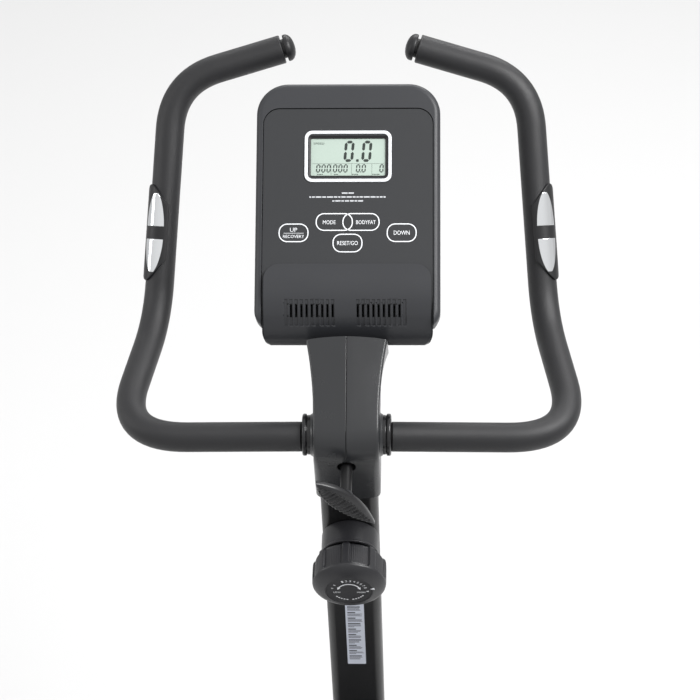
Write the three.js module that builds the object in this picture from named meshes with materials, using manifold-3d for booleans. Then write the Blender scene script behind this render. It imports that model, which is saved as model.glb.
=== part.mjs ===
// An upright magnetic exercise bike in millimetres, +Z up, front towards +Y, the rider's right towards +X.
// Heights count from the floor. Every y below counts from a vertical line 20 mm ahead of the crank, and the
// last lines slide the whole bike along y so that the origin is on the floor under the middle of its box.
import * as THREE from "three";
import { mergeVertices } from "three/addons/utils/BufferGeometryUtils.js";
import Module from "manifold-3d";

const wasm = await Module();
wasm.setup();

// ---- driving dimensions -------------------------------------------------------------------------------
const BAR_CENTRE = { y: 40, z: 1115 };      // middle of the handlebar's cross tube
const POST_LEAN = 12;                       // degrees from vertical, top towards the rider
const CONSOLE_TILT = 39;                    // degrees between the console's face and the floor
const GRIP_SLOPE = 52;                      // degrees between the bar's side grips and the floor
const POST = { width: 62, depth: 40, wall: 2.5, corner: 10, top: 34, bottom: 660 };
const BAR = { foam: 15.8, bore: 13.2, tube: 11.7, clampHalf: 47 };
const CRANK = { y: -20, z: 300, length: 160, angle: -35, armX: 72, armThick: 13 };
const FLYWHEEL = { y: 102, z: 306, radius: 98, x0: -22, x1: -6 };
const BEAM = { z0: 66, z1: 124, halfWidth: 26, y0: -446, y1: 398, wall: 3 };
const SEAT_TUBE = { y: -130, z: 112, lean: 17.5, width: 66, depth: 36, length: 520 };
const SEAT_POST = { width: 57, depth: 27, from: 330, to: 716 };
const STABILISER = { radius: 25, half: 206, z: 40.5, frontY: 372, rearY: -430 };
const GAP = 0.35;                           // between pieces that touch

// ---- materials ----------------------------------------------------------------------------------------
const finish = (color, roughness, metalness = 0) =>
  new THREE.MeshStandardMaterial({ color, roughness, metalness });
const STEEL_PAINT = finish(0x1c1c1e, 0.45, 0.3);
const SHELL = finish(0x4a4b4f, 0.6);
const PANEL = finish(0x46474b, 0.7);
const DARK = finish(0x1e1e20, 0.55);
const FOAM = finish(0x3a3a3d, 0.9);
const CHROME = finish(0xd8dadc, 0.15, 1);
const RAW_STEEL = finish(0x8a8c90, 0.35, 0.9);
const CAST_IRON = finish(0x55565a, 0.6, 0.8);
const RUBBER = finish(0x151516, 0.9);
const WHITE = finish(0xf2f2f2, 0.4);
const LCD_GREEN = finish(0xd3e5d8, 0.3);
const BOARD = finish(0x1f5b35, 0.6);
const LEATHER = finish(0x222224, 0.65);

// ---- shape helpers ------------------------------------------------------------------------------------
const rad = THREE.MathUtils.degToRad;
const V3 = (x, y, z) => new THREE.Vector3(x, y, z);

// Turns a closed geometry into a manifold solid, and back.
function solid(geometry) {
  const bare = geometry.clone();
  bare.deleteAttribute("normal");
  bare.deleteAttribute("uv");
  const merged = mergeVertices(bare, 1e-3);
  return new wasm.Manifold(new wasm.Mesh({
    numProp: 3,
    vertProperties: merged.attributes.position.array,
    triVerts: new Uint32Array(merged.index.array),
  }));
}
function geometryOf(made) {
  const mesh = made.getMesh();
  const points = new Float32Array(mesh.numVert * 3);
  for (let i = 0; i < mesh.numVert; i++) {
    points.set(mesh.vertProperties.subarray(i * mesh.numProp, i * mesh.numProp + 3), i * 3);
  }
  return new THREE.BufferGeometry()
    .setAttribute("position", new THREE.BufferAttribute(points, 3))
    .setIndex(new THREE.BufferAttribute(mesh.triVerts, 1));
}
const join = (...g) => geometryOf(g.slice(1).reduce((a, b) => a.add(solid(b)), solid(g[0])));
const cut = (g, ...tools) => geometryOf(tools.reduce((a, b) => a.subtract(solid(b)), solid(g)));
const common = (a, b) => geometryOf(solid(a).intersect(solid(b)));

const polygon = (points) => new THREE.Shape(points.map(([a, b]) => new THREE.Vector2(a, b)));

// A rectangle of width w and height h about (x, y), with its corners rounded.
function roundedRect(w, h, r, x = 0, y = 0) {
  const s = new THREE.Shape();
  const [a, b] = [w / 2, h / 2];
  s.moveTo(x - a + r, y - b).lineTo(x + a - r, y - b);
  s.absarc(x + a - r, y - b + r, r, -Math.PI / 2, 0);
  s.lineTo(x + a, y + b - r).absarc(x + a - r, y + b - r, r, 0, Math.PI / 2);
  s.lineTo(x - a + r, y + b).absarc(x - a + r, y + b - r, r, Math.PI / 2, Math.PI);
  s.lineTo(x - a, y - b + r).absarc(x - a + r, y - b + r, r, Math.PI, 1.5 * Math.PI);
  return s;
}
// Extrudes a shape from z0 to z1.
function prism(shape, z0, z1, curveSegments = 4) {
  const made = new THREE.ExtrudeGeometry(shape, { depth: z1 - z0, bevelEnabled: false, curveSegments });
  return made.translate(0, 0, z0);
}
// A prism whose outline is drawn in (y, z) and which runs from x0 to x1.
const SIDEWAYS = new THREE.Matrix4().makeBasis(V3(0, 1, 0), V3(0, 0, 1), V3(1, 0, 0));
const sidePrism = (shape, x0, x1, curveSegments = 4) =>
  prism(shape, x0, x1, curveSegments).applyMatrix4(SIDEWAYS);
const box = (x0, x1, y0, y1, z0, z1) =>
  new THREE.BoxGeometry(x1 - x0, y1 - y0, z1 - z0).translate((x0 + x1) / 2, (y0 + y1) / 2, (z0 + z1) / 2);
// Cylinders along each axis, from one coordinate to another.
const rodZ = (r, z0, z1, x = 0, y = 0, sides = 20) =>
  new THREE.CylinderGeometry(r, r, z1 - z0, sides).rotateX(Math.PI / 2).translate(x, y, (z0 + z1) / 2);
const rodX = (r, x0, x1, y = 0, z = 0, sides = 20) =>
  new THREE.CylinderGeometry(r, r, x1 - x0, sides).rotateZ(Math.PI / 2).translate((x0 + x1) / 2, y, z);
// A turned piece: profile points are (radius, height), and the axis becomes +Z.
const turned = (profile, segments = 24) =>
  new THREE.LatheGeometry(profile.map(([r, h]) => new THREE.Vector2(r, h)), segments).rotateX(Math.PI / 2);
// Moves a geometry drawn about one place and direction: x right, y up the slope, z out of it.
const tilted = (g, degrees, y, z) => g.clone().rotateX(rad(degrees)).translate(0, y, z);
const mirrored = (g) => geometryOf(solid(g).mirror([1, 0, 0]));

const bike = new THREE.Group();
function piece(group, name, geometry, material) {
  const mesh = new THREE.Mesh(geometry, material);
  mesh.name = name;
  group.add(mesh);
  return mesh;
}
function groupAt(parent, y, z, degrees = 0) {
  const g = new THREE.Group();
  g.position.set(0, y, z);
  g.rotation.x = rad(degrees);
  parent.add(g);
  return g;
}

// ---- frame --------------------------------------------------------------------------------------------
const down = { y: Math.sin(rad(POST_LEAN)), z: -Math.cos(rad(POST_LEAN)) };
const onPost = (along) => [BAR_CENTRE.y + along * down.y, BAR_CENTRE.z + along * down.z];
const POST_TURN = 90 + POST_LEAN;           // local +Y runs up the post, local +Z faces the rider
const postSection = (grow) =>
  roundedRect(POST.width + grow, POST.depth + grow, POST.corner + grow / 2);
// A tube along the post's axis, drawn with +Y up the post.
const postTube = (grow, from, to) =>
  prism(postSection(grow), from, to).rotateX(Math.PI / 2);

const PIN_UP = SEAT_TUBE.length - 36;       // how far up the seat tube the pull pin sits
function seatTubeSolid(w, d, from, to) {
  const made = prism(roundedRect(w, d, Math.min(w, d) * 0.36), from, to);
  return made.rotateX(rad(SEAT_TUBE.lean)).translate(0, SEAT_TUBE.y, SEAT_TUBE.z);
}
function frameSolid() {
  const [stubY, stubZ] = onPost(POST.bottom - 110);
  const [kneeY, kneeZ] = onPost(POST.bottom + 6);
  const stub = (half, width) => {
    const line = [[stubY, stubZ], [kneeY, kneeZ], [322, BEAM.z0 + 20]];
    const shape = polygon([
      [line[0][0] - half, line[0][1]], [line[1][0] - half, line[1][1] - 8],
      [line[2][0] - half * 1.5, line[2][1] - 12], [line[2][0] + half * 1.5, line[2][1] - 12],
      [line[1][0] + half, line[1][1] + 8], [line[0][0] + half, line[0][1] + 6],
    ]);
    return sidePrism(shape, -width, width);
  };
  const beam = box(-BEAM.halfWidth, BEAM.halfWidth, BEAM.y0, BEAM.y1, BEAM.z0, BEAM.z1);
  const hollow = box(-BEAM.halfWidth + BEAM.wall, BEAM.halfWidth - BEAM.wall, BEAM.y0 - 1, BEAM.y1 + 1,
    BEAM.z0 + BEAM.wall, BEAM.z1 - BEAM.wall);
  const brace = box(-17, 5, CRANK.y - 16, CRANK.y + 16, BEAM.z1 - 2, CRANK.z);
  const shellTube = rodX(21, -36, 10, CRANK.y, CRANK.z);
  const forkPlate = (x) => sidePrism(polygon([
    [FLYWHEEL.y - 16, BEAM.z1 - 2], [FLYWHEEL.y + 16, BEAM.z1 - 2],
    [FLYWHEEL.y + 11, FLYWHEEL.z + 12], [FLYWHEEL.y - 11, FLYWHEEL.z + 12],
  ]), x, x + 4);
  const forkFoot = box(-44, 42, FLYWHEEL.y - 16, FLYWHEEL.y + 16, BEAM.z1 - 2, BEAM.z1 + 4);
  const body = join(beam, stub(14, 25), brace, shellTube, forkPlate(-44), forkPlate(38), forkFoot,
    seatTubeSolid(SEAT_TUBE.width, SEAT_TUBE.depth, -20, SEAT_TUBE.length));
  const stubTop = box(-22, 22, stubY - 11, stubY + 11, stubZ - 4, stubZ + 20);
  return cut(body, hollow, stub(11, 22), stubTop,
    seatTubeSolid(SEAT_TUBE.width - 6, SEAT_TUBE.depth - 6, -16, SEAT_TUBE.length + 1),
    rodX(11, -40, 14, CRANK.y, CRANK.z),
    rodX(6.3, -60, 60, FLYWHEEL.y, FLYWHEEL.z, 12),
    tilted(rodZ(6, 0, 60, 0, 0, 12).rotateX(Math.PI / 2).translate(0, 0, PIN_UP),
      SEAT_TUBE.lean, SEAT_TUBE.y, SEAT_TUBE.z));
}
piece(bike, "main_frame", frameSolid(), STEEL_PAINT);

const post = groupAt(bike, BAR_CENTRE.y, BAR_CENTRE.z, POST_TURN);
const SPINDLE = { along: 10.5, radius: 5.6 };
const postBody = cut(postTube(0, POST.top, POST.bottom),
  postTube(-2 * POST.wall, POST.top - 1, POST.bottom + 1));
const KNOB = { along: 157, base: 31.3, baseTop: 47.5, radius: 40, back: 53.5, face: 93 };
piece(post, "front_post", cut(postBody, rodZ(5, 0, 30, 0, -KNOB.along, 12)), STEEL_PAINT);

function stabiliser(y) {
  return cut(rodX(STABILISER.radius, -STABILISER.half, STABILISER.half, y, STABILISER.z, 24),
    rodX(STABILISER.radius - 2, -STABILISER.half - 1, STABILISER.half + 1, y, STABILISER.z, 24),
    box(-BEAM.halfWidth - 1, BEAM.halfWidth + 1, y - 40, y + 40, BEAM.z0 - 0.3, BEAM.z0 + 20));
}
piece(bike, "front_stabiliser", stabiliser(STABILISER.frontY), STEEL_PAINT);
piece(bike, "rear_stabiliser", stabiliser(STABILISER.rearY), STEEL_PAINT);

// End caps: a rounded foot that the tube plugs into. The front ones carry a transport wheel.
const WHEEL = { radius: 25, y: STABILISER.frontY + 50, z: 31, x0: 207, x1: 225 };
function endCap(y, withWheel) {
  const outline = roundedRect(78, 76, 16, y, 38);
  const cap = sidePrism(outline, 186, 246, 4);
  const bore = rodX(STABILISER.radius + 0.4, 180, STABILISER.half + GAP, y, STABILISER.z, 24);
  if (!withWheel) return cut(cap, bore);
  const ears = sidePrism(roundedRect(56, 30, 14, y + 38, WHEEL.z), WHEEL.x0 - 8, WHEEL.x1 + 8, 4);
  return cut(join(cap, ears), bore,
    rodX(WHEEL.radius + 2, WHEEL.x0 - 1.5, WHEEL.x1 + 1.5, WHEEL.y, WHEEL.z, 16));
}
const rearCap = endCap(STABILISER.rearY, false);
const frontCap = endCap(STABILISER.frontY, true);
piece(bike, "rear_cap_right", rearCap, RUBBER);
piece(bike, "rear_cap_left", mirrored(rearCap), RUBBER);
const pin = rodX(3.2, WHEEL.x0 - 6, WHEEL.x1 + 6, WHEEL.y, WHEEL.z, 10);
const frontCapWithPin = join(frontCap, pin);
piece(bike, "front_cap_right", frontCapWithPin, RUBBER);
piece(bike, "front_cap_left", mirrored(frontCapWithPin), RUBBER);
const wheel = cut(rodX(WHEEL.radius, WHEEL.x0, WHEEL.x1, WHEEL.y, WHEEL.z, 20),
  rodX(3.8, WHEEL.x0 - 1, WHEEL.x1 + 1, WHEEL.y, WHEEL.z, 10));
piece(bike, "transport_wheel_right", wheel, RUBBER);
piece(bike, "transport_wheel_left", mirrored(wheel), RUBBER);

// ---- drive --------------------------------------------------------------------------------------------
const PULLEY = { radius: 92, x0: 16, x1: 28 };
const SMALL_PULLEY = 17;
piece(bike, "crank_axle", rodX(9.5, -86, 86, CRANK.y, CRANK.z, 16), RAW_STEEL);
piece(bike, "drive_pulley", cut(rodX(PULLEY.radius, PULLEY.x0, PULLEY.x1, CRANK.y, CRANK.z, 32),
  rodX(10, PULLEY.x0 - 1, PULLEY.x1 + 1, CRANK.y, CRANK.z, 16)), DARK);

// One crank arm lies along +y from the axle, then turns to its rest angle.
function crankArm(side) {
  const s = new THREE.Shape();
  s.absarc(0, 0, 19, Math.PI / 2, 1.5 * Math.PI);
  s.lineTo(CRANK.length, -12.5);
  s.absarc(CRANK.length, 0, 12.5, -Math.PI / 2, Math.PI / 2);
  s.lineTo(0, 19);
  const arm = sidePrism(s, CRANK.armX, CRANK.armX + CRANK.armThick, 6);
  const drilled = cut(arm, rodX(10, 60, 100, 0, 0, 16));
  const spindle = rodX(5.5, CRANK.armX + CRANK.armThick - 4, PEDAL.x1 - 6, CRANK.length, 0, 12);
  const made = join(drilled, spindle).rotateX(rad(CRANK.angle)).translate(0, CRANK.y, CRANK.z);
  return side > 0 ? made : mirrored(made.translate(0, -CRANK.y, -CRANK.z).rotateX(Math.PI)
    .translate(0, CRANK.y, CRANK.z));
}
const PEDAL = { x0: 92, x1: 196, halfLength: 47, up: 10, down: 28 };
const pedalY = CRANK.y + CRANK.length * Math.cos(rad(CRANK.angle));
const pedalZ = CRANK.z + CRANK.length * Math.sin(rad(CRANK.angle));
piece(bike, "crank_arm_right", crankArm(1), STEEL_PAINT);
piece(bike, "crank_arm_left", crankArm(-1), STEEL_PAINT);

function pedalBody() {
  const outline = polygon([[-PEDAL.halfLength, -4], [-PEDAL.halfLength + 6, PEDAL.up],
    [PEDAL.halfLength - 6, PEDAL.up], [PEDAL.halfLength, -4], [30, -PEDAL.down], [-30, -PEDAL.down]]);
  return cut(sidePrism(outline, PEDAL.x0, PEDAL.x1), rodX(6, PEDAL.x0 - 2, PEDAL.x1 - 4, 0, 0, 12));
}
// The strap is an arch over the foot, fixed at both sides of the pedal.
function pedalStrap() {
  const [a, b, h] = [PEDAL.x0 - 4.4, PEDAL.x1 + 4.4, 78];
  const s = new THREE.Shape();
  s.moveTo(a, -8).lineTo(a + 4, -8).lineTo(a + 4, 30);
  s.bezierCurveTo(a + 6, h - 8, b - 6, h - 8, b - 4, 30);
  s.lineTo(b - 4, -8).lineTo(b, -8).lineTo(b, 32);
  s.bezierCurveTo(b - 2, h, a + 2, h, a, 32);
  s.lineTo(a, -8);
  const strap = prism(s, -21, 21, 7).rotateX(Math.PI / 2);
  return cut(strap, rodX(6.6, PEDAL.x0 - 10, PEDAL.x0 + 10, 0, 0, 12));
}
const PEDAL_TWO_Y = 2 * CRANK.y - pedalY;
const PEDAL_TWO_Z = 2 * CRANK.z - pedalZ;
piece(bike, "pedal_right", pedalBody().translate(0, pedalY, pedalZ), DARK);
piece(bike, "pedal_strap_right", pedalStrap().translate(0, pedalY, pedalZ), RUBBER);
piece(bike, "pedal_left", mirrored(pedalBody().translate(0, PEDAL_TWO_Y, PEDAL_TWO_Z)), DARK);
piece(bike, "pedal_strap_left", mirrored(pedalStrap().translate(0, PEDAL_TWO_Y, PEDAL_TWO_Z)), RUBBER);

const flywheel = join(rodX(FLYWHEEL.radius, FLYWHEEL.x0, FLYWHEEL.x1, FLYWHEEL.y, FLYWHEEL.z, 32),
  rodX(SMALL_PULLEY, FLYWHEEL.x1 - 1, PULLEY.x1, FLYWHEEL.y, FLYWHEEL.z, 16));
piece(bike, "flywheel", cut(flywheel, rodX(6.4, -60, 60, FLYWHEEL.y, FLYWHEEL.z, 12)), CAST_IRON);
piece(bike, "flywheel_axle", rodX(5.8, -48, 48, FLYWHEEL.y, FLYWHEEL.z, 12), RAW_STEEL);

// The belt's outline is two arcs and the two lines that touch both pulleys.
function beltOutline(grow) {
  const [r0, r1] = [PULLEY.radius + grow, SMALL_PULLEY + grow];
  const [dy, dz] = [FLYWHEEL.y - CRANK.y, FLYWHEEL.z - CRANK.z];
  const heading = Math.atan2(dz, dy);
  const open = Math.acos((r0 - r1) / Math.hypot(dy, dz));
  const s = new THREE.Shape();
  s.absarc(CRANK.y, CRANK.z, r0, heading + open, heading - open + 2 * Math.PI);
  s.absarc(FLYWHEEL.y, FLYWHEEL.z, r1, heading - open, heading + open);
  return s;
}
piece(bike, "drive_belt", cut(sidePrism(beltOutline(3.2), PULLEY.x0 + 1, PULLEY.x1 - 1, 16),
  sidePrism(beltOutline(0.6), PULLEY.x0, PULLEY.x1, 16)), RUBBER);

// A curved arm of magnets hugs the flywheel's rim and swings away from it as the tension is eased.
const MAGNET_PIVOT = { y: FLYWHEEL.y - 62, z: FLYWHEEL.z + 92 };
function magnetArm() {
  const s = new THREE.Shape();
  const [a0, a1] = [rad(62), rad(123)];
  s.absarc(FLYWHEEL.y, FLYWHEEL.z, FLYWHEEL.radius + 4, a0, a1);
  s.absarc(FLYWHEEL.y, FLYWHEEL.z, FLYWHEEL.radius + 16, a1, a0, true);
  const arc = sidePrism(s, FLYWHEEL.x0 - 6, FLYWHEEL.x1 + 6, 8);
  const hub = rodX(8, FLYWHEEL.x0 - 6, FLYWHEEL.x1 + 6, MAGNET_PIVOT.y, MAGNET_PIVOT.z, 12);
  return join(arc, hub);
}
piece(bike, "brake_magnet_arm", magnetArm(), CAST_IRON);

// ---- shroud -------------------------------------------------------------------------------------------
const SHROUD_HALF = 62;
const SHROUD_OUTLINE = [[-100, 130], [-148, 285], [-174, 356], [-154, 398], [-104, 422], [-30, 431],
  [40, 437], [94, 462], [126, 506], [198, 506], [232, 430], [292, 270], [346, 130]];
function shroudShape(inset) {
  const centre = [90, 320];
  const pulled = SHROUD_OUTLINE.map(([y, z]) => {
    const reach = Math.hypot(y - centre[0], z - centre[1]);
    const keep = (reach - inset) / reach;
    return [centre[0] + (y - centre[0]) * keep, centre[1] + (z - centre[1]) * keep];
  });
  return polygon(pulled);
}
function shroudBoth() {
  const EDGE = 14;
  const outer = new THREE.ExtrudeGeometry(shroudShape(EDGE), {
    depth: 2 * (SHROUD_HALF - EDGE), bevelEnabled: true, bevelSegments: 2, bevelSize: EDGE,
    bevelThickness: EDGE, curveSegments: 4,
  }).translate(0, 0, -(SHROUD_HALF - EDGE)).applyMatrix4(SIDEWAYS);
  const inner = join(sidePrism(shroudShape(18), -SHROUD_HALF + 3.5, SHROUD_HALF - 3.5),
    sidePrism(shroudShape(6), -SHROUD_HALF + 17, SHROUD_HALF - 17));
  const openBottom = box(-SHROUD_HALF + 16, SHROUD_HALF - 16, -86, 330, 100, 170);
  const socket = tilted(prism(roundedRect(POST.width + 3, POST.depth + 3, 11), 540, 690)
    .rotateX(Math.PI / 2), POST_TURN, BAR_CENTRE.y, BAR_CENTRE.z);
  return cut(outer, inner, openBottom, socket, rodX(15, -80, 80, CRANK.y, CRANK.z, 20));
}
const shrouds = shroudBoth();
const FAR = 2000;
piece(bike, "shroud_right", cut(shrouds, box(-FAR, 0.2, -FAR, FAR, -FAR, FAR)), SHELL);
piece(bike, "shroud_left", cut(shrouds, box(-0.2, FAR, -FAR, FAR, -FAR, FAR)), SHELL);

// ---- seat ---------------------------------------------------------------------------------------------
const seat = groupAt(bike, SEAT_TUBE.y, SEAT_TUBE.z, SEAT_TUBE.lean);   // local +Z runs up the seat tube
const seatSection = (w, d) => roundedRect(w, d, Math.min(w, d) * 0.36);
piece(seat, "seat_sleeve", cut(
  join(prism(seatSection(76, 46), SEAT_TUBE.length + GAP, SEAT_TUBE.length + 22),
    prism(seatSection(59.2, 29.2), SEAT_TUBE.length - 70, SEAT_TUBE.length + 4)),
  prism(seatSection(57.8, 27.8), SEAT_TUBE.length - 80, SEAT_TUBE.length + 30),
  rodZ(6, 0, 60, 0, 0, 12).rotateX(Math.PI / 2).translate(0, 0, PIN_UP)), DARK);
const seatPostSolid = join(prism(seatSection(SEAT_POST.width, SEAT_POST.depth), SEAT_POST.from, SEAT_POST.to),
  box(-30, 30, -45, 45, 0, 8).rotateX(rad(-SEAT_TUBE.lean)).translate(0, 0, SEAT_POST.to - 4));
piece(seat, "seat_post", cut(seatPostSolid,
  prism(seatSection(SEAT_POST.width - 5, SEAT_POST.depth - 5), SEAT_POST.from - 2, SEAT_POST.to - 12)),
  RAW_STEEL);
// The pull pin: a ribbed knob behind the seat tube, its nose resting against the seat post.
const pinProfile = [[0, 14.2], [5, 14.2], [5, 30], [12, 31], [12, 38], [21, 42], [22, 60], [18, 66], [0, 67]];
piece(seat, "seat_pin", turned(pinProfile, 20).rotateX(Math.PI / 2).translate(0, 0, PIN_UP), DARK);

const SADDLE_Y = -352;
const SADDLE_Z = SEAT_TUBE.z + (SEAT_POST.to + 5) * Math.cos(rad(SEAT_TUBE.lean));
const saddle = groupAt(bike, SADDLE_Y, SADDLE_Z + 1.5, 0);
function saddleOutline(grow) {
  const s = new THREE.Shape();
  const w = 124 + grow;
  s.moveTo(0, 130 + grow);
  s.bezierCurveTo(30 + grow, 130 + grow, 42 + grow, 110, 50 + grow, 62);
  s.bezierCurveTo(60 + grow, 10, w, -10, w, -62);
  s.bezierCurveTo(w, -118 - grow, 80, -132 - grow, 0, -124 - grow);
  s.bezierCurveTo(-80, -132 - grow, -w, -118 - grow, -w, -62);
  s.bezierCurveTo(-w, -10, -60 - grow, 10, -50 - grow, 62);
  s.bezierCurveTo(-42 - grow, 110, -30 - grow, 130 + grow, 0, 130 + grow);
  return s;
}
const shellBlock = box(-38, 38, -55, 55, 4, 20);
piece(saddle, "saddle_shell", cut(prism(saddleOutline(-6), 4, 24, 5),
  cut(prism(saddleOutline(-14), 3, 18, 5), shellBlock)), DARK);
piece(saddle, "saddle_pad", new THREE.ExtrudeGeometry(saddleOutline(-8), {
  depth: 26, bevelEnabled: true, bevelSegments: 3, bevelSize: 9, bevelThickness: 20, curveSegments: 5,
}).translate(0, 0, 44.4), LEATHER);

// ---- handlebar ----------------------------------------------------------------------------------------
// Path corners of one half as [x out, r rise up the grip's slope, d depth below the slope's plane].
const head = groupAt(bike, BAR_CENTRE.y, BAR_CENTRE.z);
const BAR_CORNERS = [[BAR.clampHalf, 0, 0], [245, -2, 10], [213.5, 121, 125], [195, 382, 125],
  [74.5, 417.5, 125]];
const BEND_REACH = [0, 76, 42, 52, 0];      // how far along each leg a bend starts and ends
const barPoint = ([x, r, d]) => {
  const [c, s] = [Math.cos(rad(GRIP_SLOPE)), Math.sin(rad(GRIP_SLOPE))];
  return V3(x, r * c + d * s, r * s - d * c);
};
const BEND_STEPS = 5;
// A path that a sweep follows with one step along each straight and BEND_STEPS round each bend.
class BentPath extends THREE.Curve {
  constructor(curves) {
    super();
    this.stations = [[curves[0], 0]];
    for (const c of curves) {
      const steps = c.isLineCurve3 ? 1 : BEND_STEPS;
      for (let k = 1; k <= steps; k++) this.stations.push([c, k / steps]);
    }
    this.steps = this.stations.length - 1;
  }
  station(t) {
    return this.stations[Math.round(t * this.steps)];
  }
  getPointAt(t) {
    const [c, at] = this.station(t);
    return c.getPoint(at);
  }
  getTangentAt(t) {
    const [c, at] = this.station(t);
    return c.getTangent(at);
  }
}
// The bar runs straight through the clamp, then each corner is rounded by a bend.
function barPath(start) {
  const corner = BAR_CORNERS.map(barPoint);
  const curves = [];
  let from = corner[0];
  if (start < BAR.clampHalf) curves.push(new THREE.LineCurve3(V3(start, 0, 0), from));
  else from = from.clone().lerp(corner[1], (start - BAR.clampHalf) / (corner[1].x - BAR.clampHalf));
  for (let i = 1; i < corner.length - 1; i++) {
    const towards = (j) => corner[i].clone()
      .add(corner[j].clone().sub(corner[i]).setLength(BEND_REACH[i]));
    curves.push(new THREE.LineCurve3(from, towards(i - 1)));
    curves.push(new THREE.QuadraticBezierCurve3(towards(i - 1), corner[i], towards(i + 1)));
    from = towards(i + 1);
  }
  curves.push(new THREE.LineCurve3(from, corner.at(-1)));
  return new BentPath(curves);
}
const ring = (outer, inner, sides) => {
  const s = new THREE.Shape();
  s.absarc(0, 0, outer, 0, 2 * Math.PI);
  if (inner) s.holes.push(new THREE.Path().absarc(0, 0, inner, 0, 2 * Math.PI, true));
  return { shape: s, curveSegments: sides };
};
function swept(path, section, steps) {
  return new THREE.ExtrudeGeometry(section.shape, {
    extrudePath: path, steps, bevelEnabled: false, curveSegments: section.curveSegments,
  });
}
const sweptBar = (start, section) => {
  const path = barPath(start);
  return swept(path, section, path.steps);
};
const tubeHalf = sweptBar(-6, ring(BAR.tube, BAR.tube - 2, 4));
piece(head, "handlebar_tube", join(tubeHalf, mirrored(tubeHalf)), STEEL_PAINT);
const foamRight = sweptBar(BAR.clampHalf + 0.4, ring(BAR.foam, BAR.bore, 7));
piece(head, "foam_grip_right", foamRight, FOAM);
piece(head, "foam_grip_left", mirrored(foamRight), FOAM);

// End plugs sit on the tube's ends: a neck, then a dome.
const endPoint = barPoint(BAR_CORNERS.at(-1));
const endHeading = endPoint.clone().sub(barPoint(BAR_CORNERS.at(-2))).normalize();
const PLUG_PROFILE = [[0, 0.4], [10.6, 0.4], [10.6, 3.6], [14.6, 3.6], [14.2, 7], [11.5, 10.6], [6.5, 13],
  [0, 14]];
const aimed = (g, direction, at) => g.clone()
  .applyQuaternion(new THREE.Quaternion().setFromUnitVectors(V3(0, 0, 1), direction))
  .translate(at.x, at.y, at.z);
const plug = aimed(turned(PLUG_PROFILE, 20), endHeading, endPoint);
piece(head, "end_plug_right", plug, DARK);
piece(head, "end_plug_left", mirrored(plug), DARK);

// Pulse sensors: a leaf-shaped saddle on the outer side of each grip, holding two bright plates.
const SENSOR = { rise: 216, length: 106, band: 7, outDeg: 57 };
const gripLow = barPoint(BAR_CORNERS[2]);
const gripHigh = barPoint(BAR_CORNERS[3]);
const gripUp = gripHigh.clone().sub(gripLow).normalize();
const sensorAt = gripLow.clone().add(gripUp.clone().multiplyScalar(SENSOR.rise - 121));
const towardsRider = V3(0, -Math.sin(rad(GRIP_SLOPE)), Math.cos(rad(GRIP_SLOPE)));
const sensorOut = V3(Math.sin(rad(SENSOR.outDeg)), 0, 0)
  .add(towardsRider.clone().multiplyScalar(Math.cos(rad(SENSOR.outDeg))));
sensorOut.addScaledVector(gripUp, -sensorOut.dot(gripUp)).normalize();
const sensorSide = gripUp.clone().cross(sensorOut);
const sensorFrame = new THREE.Matrix4().makeBasis(sensorSide, gripUp, sensorOut).setPosition(sensorAt);
// Part of a round shell about the grip, radius a to b, cut to a leaf outline seen from outside.
function leafShell(a, b, leafLength, leafWidth, floor) {
  const shell = (r) => rodZ(r, -leafLength, leafLength, 0, 0, 24).rotateX(Math.PI / 2);
  const leaf = new THREE.Shape();
  leaf.moveTo(0, -leafLength / 2).quadraticCurveTo(leafWidth, 0, 0, leafLength / 2)
    .quadraticCurveTo(-leafWidth, 0, 0, -leafLength / 2);
  return common(cut(shell(b), shell(a)), prism(leaf, floor, 40, 8));
}
const halfPlate = (up, margin) =>
  box(-40, 40, up ? SENSOR.band - margin : -80, up ? 80 : -SENSOR.band + margin, -10, 60);
const [RIM_IN, PLATE_IN, RIM_OUT] = [BAR.foam + GAP, BAR.foam + 1.8, BAR.foam + 4];
const PLATE = { length: SENSOR.length - 18, width: 33, floor: 8 };
const pocket = leafShell(PLATE_IN - GAP, 50, PLATE.length + 1.2, PLATE.width + 1.2, PLATE.floor - 0.4);
const plateWhole = leafShell(PLATE_IN, RIM_OUT - 0.6, PLATE.length, PLATE.width, PLATE.floor);
const sensorShell = cut(leafShell(RIM_IN, RIM_OUT, SENSOR.length, 44, 3.4),
  common(pocket, halfPlate(true, 0.4)), common(pocket, halfPlate(false, 0.4)));
const sensorPieces = {
  pulse_housing: [sensorShell, DARK],
  pulse_plate_upper: [common(plateWhole, halfPlate(true, 0)), CHROME],
  pulse_plate_lower: [common(plateWhole, halfPlate(false, 0)), CHROME],
};
for (const [name, [g, material]] of Object.entries(sensorPieces)) {
  const placed = g.applyMatrix4(sensorFrame);
  piece(head, name + "_right", placed, material);
  piece(head, name + "_left", mirrored(placed), material);
}

// ---- clamp, neck and collars --------------------------------------------------------------------------
const CONSOLE = { y: 59.4, z: 76.0, width: 197, height: 287, bottom: 18, depth: 48, faceWidth: 181 };
const onConsole = (g) => tilted(g, CONSOLE_TILT, CONSOLE.y, CONSOLE.z);
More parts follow.
